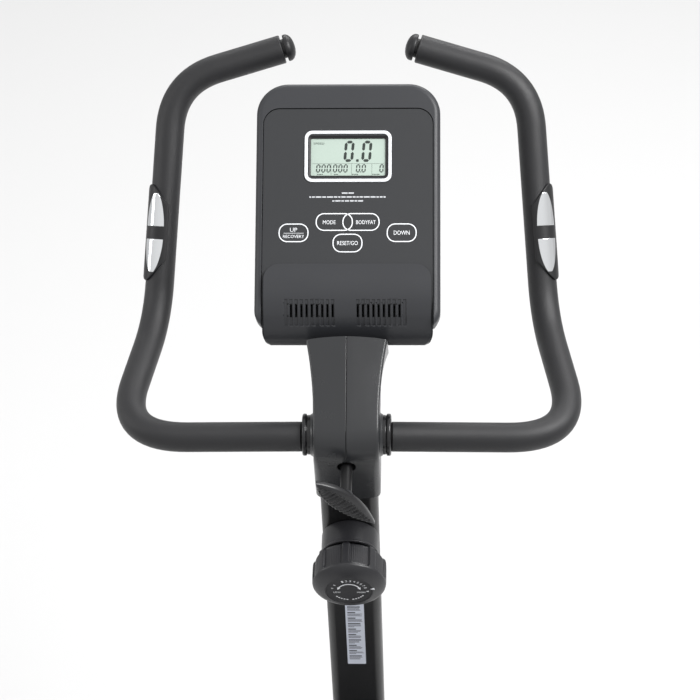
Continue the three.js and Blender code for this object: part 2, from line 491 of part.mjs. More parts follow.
// A ring round the cross tube, a lug for the spindle and an arm that carries the console.
function clampSolid(grow) {
  const arm = polygon([[-86 - grow, -18], [-80 - grow, -36 - grow], [-14, -56 - grow],
    [64 + grow, -56 - grow], [64 + grow, -48.35 + grow], [-8 + grow, -48.35 + grow], [-60 + grow, -12 + grow]]);
  return join(rodX(24 + grow, -32 - grow, 32 + grow, 0, 0, 20),
    tilted(box(-14 - grow, 14 + grow, -33.4, -13, -14 - grow, 14 + grow), POST_TURN, 0, 0),
    onConsole(sidePrism(arm, -16 - grow, 16 + grow)));
}
const tubeRoom = rodX(BAR.tube + 0.35, -60, 60, 0, 0, 24);
const lugBore = tilted(rodZ(SPINDLE.radius + 0.4, -40, 40, 0, -SPINDLE.along, 12), POST_TURN, 0, 0);
piece(head, "handlebar_clamp", cut(clampSolid(0), tubeRoom, lugBore), STEEL_PAINT);

const COLLAR = { bore: 14.6, lift: 1.4 };
const collar = turned([[COLLAR.bore, 35.2], [19.5, 35.2], [20.5, 40], [22.2, 41], [22.2, 45.6], [21.2, 46.6],
  [COLLAR.bore, 46.6], [COLLAR.bore, 35.2]], 24).rotateY(Math.PI / 2).translate(0, COLLAR.lift, COLLAR.lift);
piece(head, "bar_collar_right", collar, DARK);
piece(head, "bar_collar_left", mirrored(collar), DARK);

// The neck cover's side view is a boomerang: down over the post, round the cross tube, up to the console.
const NECK = { half: 34.7, nose: 33.4, faceAngle: 36.2, below: 80, front: 26, back: 26 };
function neckSide() {
  const [c, s] = [Math.cos(rad(POST_LEAN)), Math.sin(rad(POST_LEAN))];
  const at = (along, out) => [along * s - out * c, -along * c - out * s];
  const n = [-Math.sin(rad(NECK.faceAngle)), Math.cos(rad(NECK.faceAngle))];
  const arc = [];
  for (let k = 0; k <= 5; k++) {
    const a = THREE.MathUtils.lerp(180 + POST_LEAN + 8, 90 + NECK.faceAngle, k / 5);
    arc.push([NECK.nose * Math.cos(rad(a)), NECK.nose * Math.sin(rad(a))]);
  }
  const top = [n[0] * NECK.nose + 108 * n[1], n[1] * NECK.nose - 108 * n[0]];
  return polygon([at(NECK.below, NECK.front), ...arc, top, [112, 40], [88, 10], [52, -12],
    at(NECK.below, -NECK.back)]);
}
function neckFront() {
  // half widths by distance along the upper face
  const widths = [[-150, 34.6], [-10, NECK.half + 0.2], [30, 35], [58, 37.2], [80, 40], [98.5, 43.2],
    [101, 24]];
  const outline = [...widths.map(([t, w]) => [w, t]), [0, 101.8],
    ...widths.reverse().map(([t, w]) => [-w, t])];
  return tilted(prism(polygon(outline), -170, 120), NECK.faceAngle, 0, 0);
}
// The faceplate's side profile in (v up the face, n out of it): flat panel, then a bulging palm rest whose
// lower edge curls back under the console.
const FACE_PROFILE = [[258, -1], [90, -1], [86, 0.6], [76, 3.4], [62, 5], [50, 4], [38, 0.4], [27, -5.5],
  [17, -13.5], [9.5, -22.5], [6, -32]];
const FACE_WALL = 3;
function faceProfile() {
  const inner = FACE_PROFILE.map(([v, n], i) => {
    const a = FACE_PROFILE[Math.max(i - 1, 0)];
    const b = FACE_PROFILE[Math.min(i + 1, FACE_PROFILE.length - 1)];
    const [dv, dn] = [b[0] - a[0], b[1] - a[1]];
    const size = Math.hypot(dv, dn);
    return [v - (dn / size) * FACE_WALL, n + (dv / size) * FACE_WALL];
  });
  return [...FACE_PROFILE, ...inner.reverse()];
}
const lipFill = polygon([...FACE_PROFILE.map(([v, n]) => [v - 0.6, n + 0.5]), [5.4, -47.5], [258, -47.5]]);
const consoleRoom = onConsole(sidePrism(lipFill, -110, 110));
const postRoom = tilted(postTube(1.2, 30, 120), POST_TURN, 0, 0);
const spindleRoom = tilted(rodZ(10, 0, 60, 0, -SPINDLE.along, 20), POST_TURN, 0, 0);
const neckBoth = cut(common(sidePrism(neckSide(), -60, 60), neckFront()),
  consoleRoom, postRoom, spindleRoom, clampSolid(1), rodX(BAR.tube + 1.2, -60, 60, 0, 0, 24));
const SEAM = 0.15;
piece(head, "neck_cover_right", cut(neckBoth, box(-FAR, SEAM, -FAR, FAR, -FAR, FAR)), SHELL);
piece(head, "neck_cover_left", cut(neckBoth, box(-SEAM, FAR, -FAR, FAR, -FAR, FAR)), SHELL);

// Clamp lever: a threaded spindle with a leaf-shaped hand grip across its end.
const LEVER = { out: 77, length: 95, width: 28, thick: 12, turn: -51 };
function clampLever() {
  const s = new THREE.Shape();
  s.moveTo(-LEVER.length / 2, 0);
  s.quadraticCurveTo(-LEVER.length * 0.12, LEVER.width * 1.02, LEVER.length / 2, 0);
  s.quadraticCurveTo(LEVER.length * 0.12, -LEVER.width * 1.02, -LEVER.length / 2, 0);
  const leaf = new THREE.ExtrudeGeometry(s, { depth: 5, bevelEnabled: true, bevelSegments: 2, bevelSize: 0,
    bevelThickness: (LEVER.thick - 5) / 2, bevelOffset: 0, curveSegments: 8 });
  leaf.translate(0, 0, -2.5).rotateZ(rad(LEVER.turn)).translate(0, 0, LEVER.out);
  return join(leaf, rodZ(SPINDLE.radius, 14, LEVER.out, 0, 0, 12), rodZ(7.2, 25, LEVER.out - 4, 0, 0, 16))
    .translate(0, -SPINDLE.along, 0);
}
piece(post, "clamp_lever", clampLever(), DARK);

// ---- tension control ----------------------------------------------------------------------------------
const knobPlace = (g) => g.clone().translate(0, -KNOB.along, 0);
const baseProfile = [[0, POST.depth / 2 + GAP], [KNOB.base, POST.depth / 2 + GAP], [KNOB.base, KNOB.baseTop],
  [KNOB.base - 3, KNOB.baseTop + 1], [6, KNOB.baseTop + 1], [6, 34], [0, 34]];
piece(post, "tension_housing", knobPlace(turned(baseProfile, 28)), DARK);
function tensionKnob() {
  const s = new THREE.Shape();
  const LOBES = 8;
  for (let i = 0; i < LOBES; i++) {
    const a = ((i + 0.1) / LOBES) * 2 * Math.PI;
    const [pad, ridge] = [0.628, (2 * Math.PI) / LOBES - 0.628];
    s.absarc(0, 0, KNOB.radius - 2.6, a, a + pad);
    s.absarc(0, 0, KNOB.radius, a + pad + 0.03, a + pad + ridge - 0.03);
  }
  const dome = turned([[0, KNOB.back], [36, KNOB.back], [KNOB.radius + 2, KNOB.back + 5],
    [KNOB.radius + 2, 80], [KNOB.radius - 0.6, 84.5], [KNOB.radius - 4, 89], [KNOB.radius - 9, 92],
    [KNOB.radius - 13.5, KNOB.face], [0, KNOB.face]], 28);
  return join(common(prism(s, KNOB.back, 99, 3), dome), rodZ(24, 49, KNOB.back + 1, 0, 0, 20),
    rodZ(5, 35, 50, 0, 0, 12));
}
piece(post, "tension_knob", knobPlace(tensionKnob()), DARK);
// Bowden cable inside the post, from the knob down towards the brake.
const cablePath = new THREE.CatmullRomCurve3([V3(0, -KNOB.along - 4, 10), V3(0, -KNOB.along - 40, 4),
  V3(4, -300, 0), V3(-4, -450, 0), V3(0, -POST.bottom + 118, 0)]);
piece(post, "tension_cable", swept(cablePath, ring(2.5, 0, 3), 14), RUBBER);

// ---- console ------------------------------------------------------------------------------------------
const con = groupAt(head, CONSOLE.y, CONSOLE.z, CONSOLE_TILT);
function shellOutline(inset) {
  const [a, low, high] = [CONSOLE.width / 2 - inset, CONSOLE.bottom + inset, CONSOLE.height - inset];
  const [R, r] = [34 - inset, 20 - inset];
  const s = new THREE.Shape();
  s.moveTo(-a + r, low).lineTo(a - r, low);
  s.absarc(a - r, low + r, r, -Math.PI / 2, 0);
  s.lineTo(a, high - R).absarc(a - R, high - R, R, 0, Math.PI / 2);
  s.lineTo(-a + R, high).absarc(-a + R, high - R, R, Math.PI / 2, Math.PI);
  s.lineTo(-a, low + r).absarc(-a + r, low + r, r, Math.PI, 1.5 * Math.PI);
  return s;
}
const FACE_HALF = CONSOLE.faceWidth / 2;
const faceOutline = (grow) => {
  const [a, top, R] = [FACE_HALF + grow, 258 + grow, 17 + grow];
  const s = new THREE.Shape();
  const [low, r] = [4 - grow, 11 + grow];
  s.moveTo(-a + r, low).lineTo(a - r, low).absarc(a - r, low + r, r, -Math.PI / 2, 0);
  s.lineTo(a, top - R).absarc(a - R, top - R, R, 0, Math.PI / 2);
  s.lineTo(-a + R, top).absarc(-a + R, top - R, R, Math.PI / 2, Math.PI);
  s.lineTo(-a, low + r).absarc(-a + r, low + r, r, Math.PI, 1.5 * Math.PI);
  return s;
};
const housing = cut(prism(shellOutline(0), -22, 0, 6), prism(faceOutline(0.6), -60, 10, 6));
piece(con, "console_housing", housing, SHELL);
const rearTray = cut(prism(shellOutline(1.5), -CONSOLE.depth, -22.4, 5),
  prism(shellOutline(5), -CONSOLE.depth + 3, -20, 5),
  box(-FACE_HALF - 0.6, FACE_HALF + 0.6, 0, 26, -47.2, 0));
piece(con, "console_rear", rearTray, SHELL);

// Keys: [name, x, v, width, height]. The two middle keys share a seam.
const KEYS = [["key_up", -57.4, 121.5, 32, 20], ["key_down", 57.4, 121.5, 32, 20],
  ["key_mode", -20.2, 133.3, 27, 19], ["key_body", 20.2, 133.3, 27, 19], ["key_reset", 0, 110.3, 32, 20]];
const keyShape = (k, grow) => roundedRect(k[3] + grow, k[4] + grow, (k[4] + grow) * 0.42, k[1], k[2]);
const LCD = { v: 205.3, width: 81, height: 43 };
function facePlate() {
  const plate = common(sidePrism(polygon(faceProfile()), -FACE_HALF, FACE_HALF),
    prism(faceOutline(0), -80, 40, 6));
  const slots = [];
  for (const side of [-1, 1]) {
    for (let i = -4.5; i < 5; i++) {
      slots.push(box(-1.2, 1.2, 26, 46, -24, 20).translate(side * 38 - 2 + i * 5.5, 0, 0));
    }
  }
  return cut(plate, prism(roundedRect(LCD.width, LCD.height, 3, 0, LCD.v), -10, 10, 2),
    ...KEYS.map((k) => prism(keyShape(k, 0.8), -10, 10, 3)), ...slots);
}
piece(con, "console_face", facePlate(), PANEL);
for (const k of KEYS) {
  piece(con, k[0], join(prism(keyShape(k, 0), -5.5, -0.6, 3)), PANEL);
}
piece(con, "lcd_bezel", cut(prism(roundedRect(94, 58, 7, 0, LCD.v), -0.6, 0.6, 4),
  prism(roundedRect(LCD.width, LCD.height + 4, 4, 0, LCD.v), -5, 5, 3)), WHITE);
piece(con, "lcd_panel", box(-46, 46, LCD.v - 27, LCD.v + 27, -8.5, -4.4), LCD_GREEN);
piece(con, "circuit_board", box(-70, 70, 60, 240, -14, -12.4), BOARD);

// The origin goes to the middle of the box, on the floor.
const bounds = new THREE.Box3().setFromObject(bike);
bike.position.y = -(bounds.min.y + bounds.max.y) / 2;

export default bike;
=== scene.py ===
"""Looks of the exercise bike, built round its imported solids.

Lengths are in millimetres until place() scales them.
"""

import math
import random

import bmesh
import bpy
from mathutils import Matrix, Vector


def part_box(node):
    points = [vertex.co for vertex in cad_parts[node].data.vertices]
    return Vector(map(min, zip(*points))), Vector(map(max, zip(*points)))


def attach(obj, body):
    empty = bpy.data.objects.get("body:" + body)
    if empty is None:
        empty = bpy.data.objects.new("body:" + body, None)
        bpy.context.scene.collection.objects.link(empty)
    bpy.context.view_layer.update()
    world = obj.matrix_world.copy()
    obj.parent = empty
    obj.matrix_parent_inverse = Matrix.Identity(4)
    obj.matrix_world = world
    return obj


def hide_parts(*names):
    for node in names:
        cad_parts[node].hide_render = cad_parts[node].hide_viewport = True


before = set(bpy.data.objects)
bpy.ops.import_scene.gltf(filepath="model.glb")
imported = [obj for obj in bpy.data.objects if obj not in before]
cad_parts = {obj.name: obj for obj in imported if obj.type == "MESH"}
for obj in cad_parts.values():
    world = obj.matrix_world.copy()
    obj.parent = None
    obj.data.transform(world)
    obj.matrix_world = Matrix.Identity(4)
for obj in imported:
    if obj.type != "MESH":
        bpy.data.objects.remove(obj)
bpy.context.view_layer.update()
random.seed(11)
TAU = 2 * math.pi
SIDES = ((1, "right"), (-1, "left"))


# ---- places -------------------------------------------------------------------------------------------
def shift(x, y, z):
    return Matrix.Translation((x, y, z))


def turned_by(degrees, axis):
    return Matrix.Rotation(math.radians(degrees), 4, axis)


def place(y, z, degrees=0.0):
    """A frame in millimetres: x right, y up the slope, z out of it."""
    return shift(0, y / 1000, z / 1000) @ turned_by(degrees, "X") @ Matrix.Scale(0.001, 4)


POST_LEAN, SEAT_LEAN = 12, 17.5                       # degrees from the vertical
BAR_OFFSET = 1.4                                      # from the cross tube's axis to the collars' axis
collar_low, collar_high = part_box("bar_collar_right")
CY = (collar_low.y + collar_high.y) * 500 - BAR_OFFSET      # the handlebar's cross tube
CZ = (collar_low.z + collar_high.z) * 500 - BAR_OFFSET
SHIFT = CY - 40
BIKE = place(SHIFT, 0)
HEAD = place(CY, CZ)
POST = place(CY, CZ, 90 + POST_LEAN)
CONSOLE = place(CY + 59.4, CZ + 76.0, 39)
SEAT = place(SHIFT - 130, 112, SEAT_LEAN)
SADDLE_Z = 112 + 721 * math.cos(math.radians(SEAT_LEAN)) + 1.5
SADDLE = place(SHIFT - 352, SADDLE_Z)
QUARTER_X, QUARTER_Y = turned_by(90, "X"), turned_by(90, "Y")


# ---- shapes: (points, faces) --------------------------------------------------------------------------
def loft(loops, closed=True, caps=True, ring=False):
    """Skins rows of points. ring joins the last row to the first."""
    n = len(loops[0])
    points = [Vector(p) for row in loops for p in row]
    faces = []
    rows = len(loops) if ring else len(loops) - 1
    for i in range(rows):
        a, b = i * n, ((i + 1) % len(loops)) * n
        for j in range(n if closed else n - 1):
            k = (j + 1) % n
            faces.append((a + j, a + k, b + k, b + j))
    if caps and not ring and closed:
        faces += [tuple(range(n))[::-1], tuple(range((len(loops) - 1) * n, len(loops) * n))]
    return points, faces


def merge(*shapes):
    """Several shapes as one."""
    points, faces = [], []
    for p, f in shapes:
        base = len(points)
        points += p
        faces += [tuple(i + base for i in face) for face in f]
    return points, faces


def moved(shape, matrix):
    return [matrix @ p for p in shape[0]], shape[1]


def mirrored(shape):
    return [Vector((-p.x, p.y, p.z)) for p in shape[0]], [f[::-1] for f in shape[1]]


def on_side(sign, shape):
    """The shape itself on the right, its mirror image on the left."""
    return shape if sign > 0 else mirrored(shape)


def polar(r, degrees):
    return r * math.cos(math.radians(degrees)), r * math.sin(math.radians(degrees))


def quadratic(a, b, c, t):
    return (1 - t) ** 2 * a + 2 * t * (1 - t) * b + t * t * c


def cubic(a, b, c, d, t):
    return (1 - t) ** 3 * a + 3 * t * (1 - t) ** 2 * b + 3 * t * t * (1 - t) * c + t ** 3 * d


def turned(profile, segments=64, ring=False):
    """A turned piece about z from (radius, height) points."""
    loops = [[(max(r, 0.01) * math.cos(TAU * k / segments), max(r, 0.01) * math.sin(TAU * k / segments), h)
              for k in range(segments)] for r, h in profile]
    return loft(loops, ring=ring)


def rounded(w, h, r, n=8, x=0.0, y=0.0, low_r=None):
    """A rectangle's outline with rounded corners, anticlockwise from the lower right."""
    a, b, q = w / 2, h / 2, r if low_r is None else low_r
    out = []
    for cx, cy, rr, start in ((a - q, -b + q, q, -90), (a - r, b - r, r, 0), (-a + r, b - r, r, 90),
                              (-a + q, -b + q, q, 180)):
        for k in range(n + 1):
            dx, dy = polar(rr, start + 90 * k / n)
            out.append((x + cx + dx, y + cy + dy))
    return out


def inset(outline, d):
    """Moves a smooth anticlockwise outline inwards by d."""
    out, n = [], len(outline)
    for i, (x, y) in enumerate(outline):
        (ax, ay), (bx, by) = outline[i - 1], outline[(i + 1) % n]
        tx, ty = bx - ax, by - ay
        size = math.hypot(tx, ty) or 1
        out.append((x - ty / size * d, y + tx / size * d))
    return out


def slab(outline, z0, z1, top=1.0, bottom=0.0, steps=4):
    """A plate with its top and bottom edges rounded."""
    angles = [math.pi / 2 * k / steps for k in range(steps + 1)]
    loops = [[(x, y, z0) for x, y in outline]]
    if bottom:
        loops = [[(x, y, z0 + bottom * (1 - math.cos(t)))
                  for x, y in inset(outline, bottom * (1 - math.sin(t)))] for t in angles]
    loops += [[(x, y, z1 - top + top * math.sin(t))
               for x, y in inset(outline, top * (1 - math.cos(t)))] for t in angles]
    return loft(loops)


def sideways(shape):
    """Turns a shape drawn in (y, z, x) into the bike's axes."""
    return [Vector((p.z, p.x, p.y)) for p in shape[0]], shape[1]


def curve(points, per=6, closed=False):
    """A Catmull-Rom curve through 2-D or 3-D points."""
    pts = [Vector(p) for p in points]
    n = len(pts)
    out = []
    for i in range(n if closed else n - 1):
        p0 = pts[(i - 1) % n] if closed or i else pts[0]
        p1, p2 = pts[i], pts[(i + 1) % n]
        p3 = pts[(i + 2) % n] if closed or i + 2 < n else pts[-1]
        for k in range(per):
            t = k / per
            out.append(0.5 * ((2 * p1) + (p2 - p0) * t + (2 * p0 - 5 * p1 + 4 * p2 - p3) * t * t
                              + (3 * p1 - p0 - 3 * p2 + p3) * t ** 3))
    if not closed:
        out.append(pts[-1])
    return [tuple(p) for p in out]


def sweep(path, section, scale=None, closed=False, caps=True):
    """Carries a 2-D section along a path without twist; scale gives its size at each point."""
    path = [Vector(p) for p in path]
    n = len(path)
    tangents = []
    for i in range(n):
        a = path[i - 1] if closed else path[max(i - 1, 0)]
        b = path[(i + 1) % n] if closed else path[min(i + 1, n - 1)]
        tangents.append((b - a).normalized())
    side = tangents[0].orthogonal().normalized()
    loops = []
    for i, (p, t) in enumerate(zip(path, tangents)):
        side = (side - t * side.dot(t)).normalized()
        up = t.cross(side)
        k = scale[i] if scale else 1.0
        loops.append([p + (side * u + up * v) * k for u, v in section])
    return loft(loops, caps=caps, ring=closed)


def circle(r, n=32):
    return [(r * math.cos(TAU * k / n), r * math.sin(TAU * k / n)) for k in range(n)]


# ---- objects ------------------------------------------------------------------------------------------
def mesh_of(name, shape, at, join=False):
    """A shape as a mesh in metres, its faces turned outwards; join welds the points that coincide."""
    mesh = bpy.data.meshes.new(name)
    mesh.from_pydata([tuple(p) for p in shape[0]], [], shape[1])
    mesh.transform(at)
    work = bmesh.new()
    work.from_mesh(mesh)
    if join:
        bmesh.ops.remove_doubles(work, verts=work.verts, dist=2e-6)
    bmesh.ops.recalc_face_normals(work, faces=work.faces)
    work.to_mesh(mesh)
    work.free()
    return mesh


def linked(name, data):
    """A new object in the scene."""
    o = bpy.data.objects.new(name, data)
    bpy.context.scene.collection.objects.link(o)
    return o


def applied(o):
    """A copy of an object's mesh with its modifiers applied."""
    bpy.context.view_layer.update()
    return bpy.data.meshes.new_from_object(o.evaluated_get(bpy.context.evaluated_depsgraph_get()))


def bake(o):
    made = applied(o)
    o.modifiers.clear()
    o.data = made


def piece(name, shape, material, at, body, stands_for=(), slot=None, angle=38, bevel=0.0, flat=False):
    """Makes one visible piece, hangs it on the body that it rides on and hides the solids that it stands for.
    """
    o = linked(name, mesh_of(name, shape, at, join=True))
    dress(o, material, angle, bevel, flat)
    if body is None:
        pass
    else:
        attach(o, body)
        if stands_for:
            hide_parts(*([stands_for] if isinstance(stands_for, str) else stands_for))
    return o


def pair(name, shape, material, at, body, stands_for, *look):
    """The same piece on the right and, mirrored, on the left."""
    for sign, side in SIDES:
        piece(f"{name}_{side}", on_side(sign, shape), material, at, body,
              stands_for and f"{stands_for}_{side}", *look)


def dress(o, material, angle=38, bevel=0.0, flat=False):
    """Gives an object its material, smooth faces with sharp edges, and rounded edges if bevel is set."""
    mesh = o.data
    mesh.materials.clear()
    mesh.materials.append(material)
    if flat:
        return
    mesh.shade_smooth()
    if bevel:
        m = o.modifiers.new("edges", "BEVEL")
        m.width, m.segments, m.limit_method, m.angle_limit = bevel / 1000, 3, "ANGLE", math.radians(angle)
        m.harden_normals = True
    else:
        mesh.set_sharp_from_angle(angle=math.radians(angle))
    m = o.modifiers.new("normals", "WEIGHTED_NORMAL")
    m.keep_sharp = True


def carve(o, shapes, at, keep=False):
    """Cuts shapes out of an object, or keeps only what lies in them, and bakes the result."""
    o.modifiers.clear()
    for shape in shapes:
        mesh = mesh_of("tool", shape, at)
        tool = linked("tool", mesh)
        m = o.modifiers.new("cut", "BOOLEAN")
        m.operation, m.solver, m.object = ("INTERSECT" if keep else "DIFFERENCE"), "EXACT", tool
        bake(o)
        bpy.data.objects.remove(tool)
        bpy.data.meshes.remove(mesh)
    return o


# ---- materials ----------------------------------------------------------------------------------------
def linear(r, g, b):
    """A display colour as linear light."""
    return [((c / 255 + 0.055) / 1.055) ** 2.4 if c > 10 else c / 255 / 12.92 for c in (r, g, b)]


def material(name, colour, rough=0.5, metal=0.0, grain=0.0, size=900.0, vary=0.06, rough_vary=0.08,
             coat=0.0, stretch=(1, 1, 1), specular=0.5):
    """A surface whose colour, gloss and grain all come from noise."""
    m = bpy.data.materials.new(name)
    m.use_nodes = True
    nodes, links = m.node_tree.nodes, m.node_tree.links
    shader = nodes["Principled BSDF"]
    where, scale = nodes.new("ShaderNodeTexCoord"), nodes.new("ShaderNodeMapping")
    scale.inputs["Scale"].default_value = stretch
    links.new(where.outputs["Object"], scale.inputs["Vector"])

    def noise(fineness, detail):
        n = nodes.new("ShaderNodeTexNoise")
        n.inputs["Scale"].default_value, n.inputs["Detail"].default_value = fineness, detail
        links.new(scale.outputs["Vector"], n.inputs["Vector"])
        return n.outputs["Fac"]

    broad = noise(14.0, 5.0)
    mix = nodes.new("ShaderNodeMix")
    mix.data_type = "RGBA"
    factor, dark, light, result = mix.inputs[0], mix.inputs[6], mix.inputs[7], mix.outputs[2]
    colour = linear(*colour)
    dark.default_value = [c * (1 - vary) for c in colour] + [1]
    light.default_value = [min(1, c * (1 + vary)) for c in colour] + [1]
    links.new(broad, factor)
    links.new(result, shader.inputs["Base Color"])
    spread = nodes.new("ShaderNodeMapRange")
    spread.inputs["To Min"].default_value = max(0.02, rough - rough_vary)
    spread.inputs["To Max"].default_value = min(1.0, rough + rough_vary)
    links.new(broad, spread.inputs["Value"])
    links.new(spread.outputs["Result"], shader.inputs["Roughness"])
    for key, value in (("Metallic", metal), ("Specular IOR Level", specular), ("Coat Weight", coat),
                       ("Coat Roughness", 0.15)):
        shader.inputs[key].default_value = value
    if grain:
        bump = nodes.new("ShaderNodeBump")
        bump.inputs["Strength"].default_value, bump.inputs["Distance"].default_value = grain, 0.0004
        links.new(noise(size, 3.0), bump.inputs["Height"])
        links.new(bump.outputs["Normal"], shader.inputs["Normal"])
    return m


SHELL = material("shell_plastic", (49, 50, 53), 0.42, grain=0.25, size=1500, specular=0.36)
NECK_PLASTIC = material("neck_plastic", (38, 39, 41), 0.27, grain=0.2, size=1500)
PANEL = material("panel_overlay", (47, 48, 50), 0.55, grain=0.35, size=2200, specular=0.28)
LIP = material("console_lip_plastic", (46, 47, 50), 0.3, grain=0.15, size=1500, specular=0.42)
GLOSS = material("glossy_plastic", (24, 24, 26), 0.22, grain=0.15, size=1400)
BLACK = material("black_plastic", (20, 20, 22), 0.42, grain=0.3, size=1400, specular=0.45)
KNOB = material("knob_plastic", (33, 33, 36), 0.36, grain=0.25, size=1600)
LEVER = material("lever_plastic", (27, 27, 29), 0.27, grain=0.2, size=1600)
FOAM = material("foam_rubber", (31, 31, 33), 0.42, grain=0.6, size=2600, vary=0.1, specular=0.46)
PAINT = material("black_powder_coat", (18, 18, 19), 0.36, grain=0.35, size=1100, specular=0.34)
RUBBER = material("moulded_rubber", (24, 24, 25), 0.75, grain=0.5, size=700)
CHROME = material("pulse_chrome", (232, 234, 236), 0.12, 1.0, vary=0.02, rough_vary=0.04)
STEEL = material("bright_steel", (196, 198, 202), 0.28, 1.0, grain=0.1, size=500, stretch=(1, 1, 12))
IRON = material("turned_iron", (96, 97, 101), 0.45, 1.0, grain=0.6, size=260, vary=0.2)
WHITE = material("white_trim", (236, 238, 242), 0.3, vary=0.01)
PRINT = material("white_print", (228, 230, 233), 0.5, vary=0.02)
DULL_PRINT = material("grey_print", (190, 192, 196), 0.55, vary=0.04)
LCD = material("display_glass", (170, 185, 175), 0.2, vary=0.02, coat=0.3)
LCD_DARK = material("display_digits", (38, 46, 42), 0.35, vary=0.05)
LABEL = material("paper_label", (196, 201, 213), 0.5, grain=0.1, size=900, vary=0.03)
INK = material("label_ink", (70, 71, 78), 0.6, vary=0.08)
BOARD = material("circuit_board", (30, 92, 54), 0.5, vary=0.15)
VINYL = material("saddle_vinyl", (28, 28, 30), 0.5, grain=1.0, size=420, vary=0.08)
GLOVE = material("strap_rubber", (24, 24, 25), 0.6, grain=0.6, size=900)
DECK = material("shroud_plastic", (50, 51, 54), 0.44, grain=0.3, size=1300, vary=0.05)


# ---- handlebar ----------------------------------------------------------------------------------------
SLOPE = math.radians(52)


def bar_point(p):
    x, r, d = p
    return Vector((x, r * math.cos(SLOPE) + d * math.sin(SLOPE), r * math.sin(SLOPE) - d * math.cos(SLOPE)))


# The bar's corners as (x, along the rider's slope, out of it), and how far each bend reaches from its corner.
BAR = [bar_point(p) for p in ((47, 0, 0), (245, -2, 10), (213.5, 121, 125), (195, 382, 125),
                              (74.5, 417.5, 125))]
BENDS = (0, 76, 42, 52, 0)
GRIP_RADIUS = 15.8


def bar_path(start):
    """The bar's centre line: straights in 20 mm steps, bends in 18."""
    path = [BAR[0].lerp(BAR[1], (start - 47) / (BAR[1].x - 47))]
    for i in range(1, len(BAR) - 1):
        a = BAR[i] + (BAR[i - 1] - BAR[i]).normalized() * BENDS[i]
        b = BAR[i] + (BAR[i + 1] - BAR[i]).normalized() * BENDS[i]
        steps = max(2, int((a - path[-1]).length / 20))
        path += [path[-1].lerp(a, k / steps) for k in range(1, steps)]
        path += [quadratic(a, BAR[i], b, k / 18) for k in range(19)]
    steps = int((BAR[-1] - path[-1]).length / 12)
    return path + [path[-1].lerp(BAR[-1], k / steps) for k in range(1, steps + 1)]


def rounded_ends(path, radius, fillet):
    """Adds rows near both ends of a path and gives the size of each row, so that a sweep has round ends."""
    out, size = [], []
    heading = (path[1] - path[0]).normalized()
    for k in range(5):
        t = math.pi / 2 * k / 4
        out.append(path[0] + heading * fillet * (1 - math.cos(t)))
        size.append((radius - fillet + fillet * math.sin(t)) / radius)
    out += path[1:-1]
    size += [1.0] * len(path[1:-1])
    heading = (path[-1] - path[-2]).normalized()
    for k in range(5):
        t = math.pi / 2 * (4 - k) / 4
        out.append(path[-1] - heading * fillet * (1 - math.cos(t)))
        size.append((radius - fillet + fillet * math.sin(t)) / radius)
    return out, size


grip_path, grip_size = rounded_ends(bar_path(47.1), GRIP_RADIUS, 1.0)
grip = sweep(grip_path, circle(GRIP_RADIUS, 44), grip_size)
pair("grip_foam", grip, FOAM, HEAD, "handlebar", "foam_grip", "foam", 60)

aim = (BAR[-1] - BAR[-2]).normalized()
plug = turned([(0, 0.4), (10.6, 0.4), (10.6, 3.2), (14.2, 3.3), (14.7, 3.8), (14.9, 5), (14.7, 7.2),
               (14, 8.6), (12.6, 10.2), (10.4, 11.8), (7.5, 13), (4, 13.7), (0, 14)], 48)
along_bar = Vector((0, 0, 1)).rotation_difference(aim).to_matrix().to_4x4()
plug = moved(plug, Matrix.Translation(BAR[-1]) @ along_bar)
pair("end_cap", plug, BLACK, HEAD, "handlebar", "end_plug", "dark")

# The pulse sensors wrap each grip: a black saddle on its outer side and two plates nearer to the rider.
rise = (BAR[3] - BAR[2]).normalized()
to_rider = Vector((0, -math.sin(SLOPE), math.cos(SLOPE)))


def on_grip(shape, degrees):
    """Puts a sensor piece on a grip, turned by degrees from the rider's side to the outer side."""
    out = Vector((math.sin(math.radians(degrees)), 0, 0)) + to_rider * math.cos(math.radians(degrees))
    out = (out - rise * out.dot(rise)).normalized()
    spot = Matrix((rise.cross(out), rise, out)).transposed().to_4x4()
    spot.translation = BAR[2] + rise * 95
    return moved(shape, spot)


def leaf(length, width, floor, r_in, r_out, y0=None, y1=None, fillet=1.6, rows=56, columns=36):
    """A leaf-shaped saddle on the grip from radius r_in to r_out, its outer edge rounded."""
    loops = []
    y0, y1 = (-length / 2 if y0 is None else y0), (length / 2 if y1 is None else y1)

    def reach(y, r):
        u = min(1, abs(2 * y / length))
        wide = max((1 - u ** 2.4) ** 0.6 * width / 2, 0.05)
        limit = math.acos(max(-1, min(1, floor / r)))
        free = math.asin(min(1, wide / r)) if wide < r else limit
        return min(free, limit)

    for i in range(rows + 1):
        y = y0 + (y1 - y0) * (0.5 - 0.5 * math.cos(math.pi * i / rows))
        end = min(y - y0, y1 - y)
        lift = r_out - fillet + fillet * math.sin(math.acos(max(0, 1 - min(end, fillet) / fillet)))
        a = reach(y, r_out)
        row = []
        for k in range(columns + 1):
            s = -1 + 2 * k / columns
            s = math.copysign(abs(s) ** 0.8, s)
            angle = s * a
            gap = (1 - abs(s)) * a * r_out
            drop = fillet * (1 - math.sin(math.acos(max(0, 1 - min(gap, fillet) / fillet))))
            r = max(r_in + 0.1, lift - drop)
            row.append((r * math.sin(angle), y, r * math.cos(angle)))
        for k in range(11):
            angle = a - 2 * a * k / 10
            row.append((r_in * math.sin(angle), y, r_in * math.cos(angle)))
        loops.append(row)
    return loft(loops)


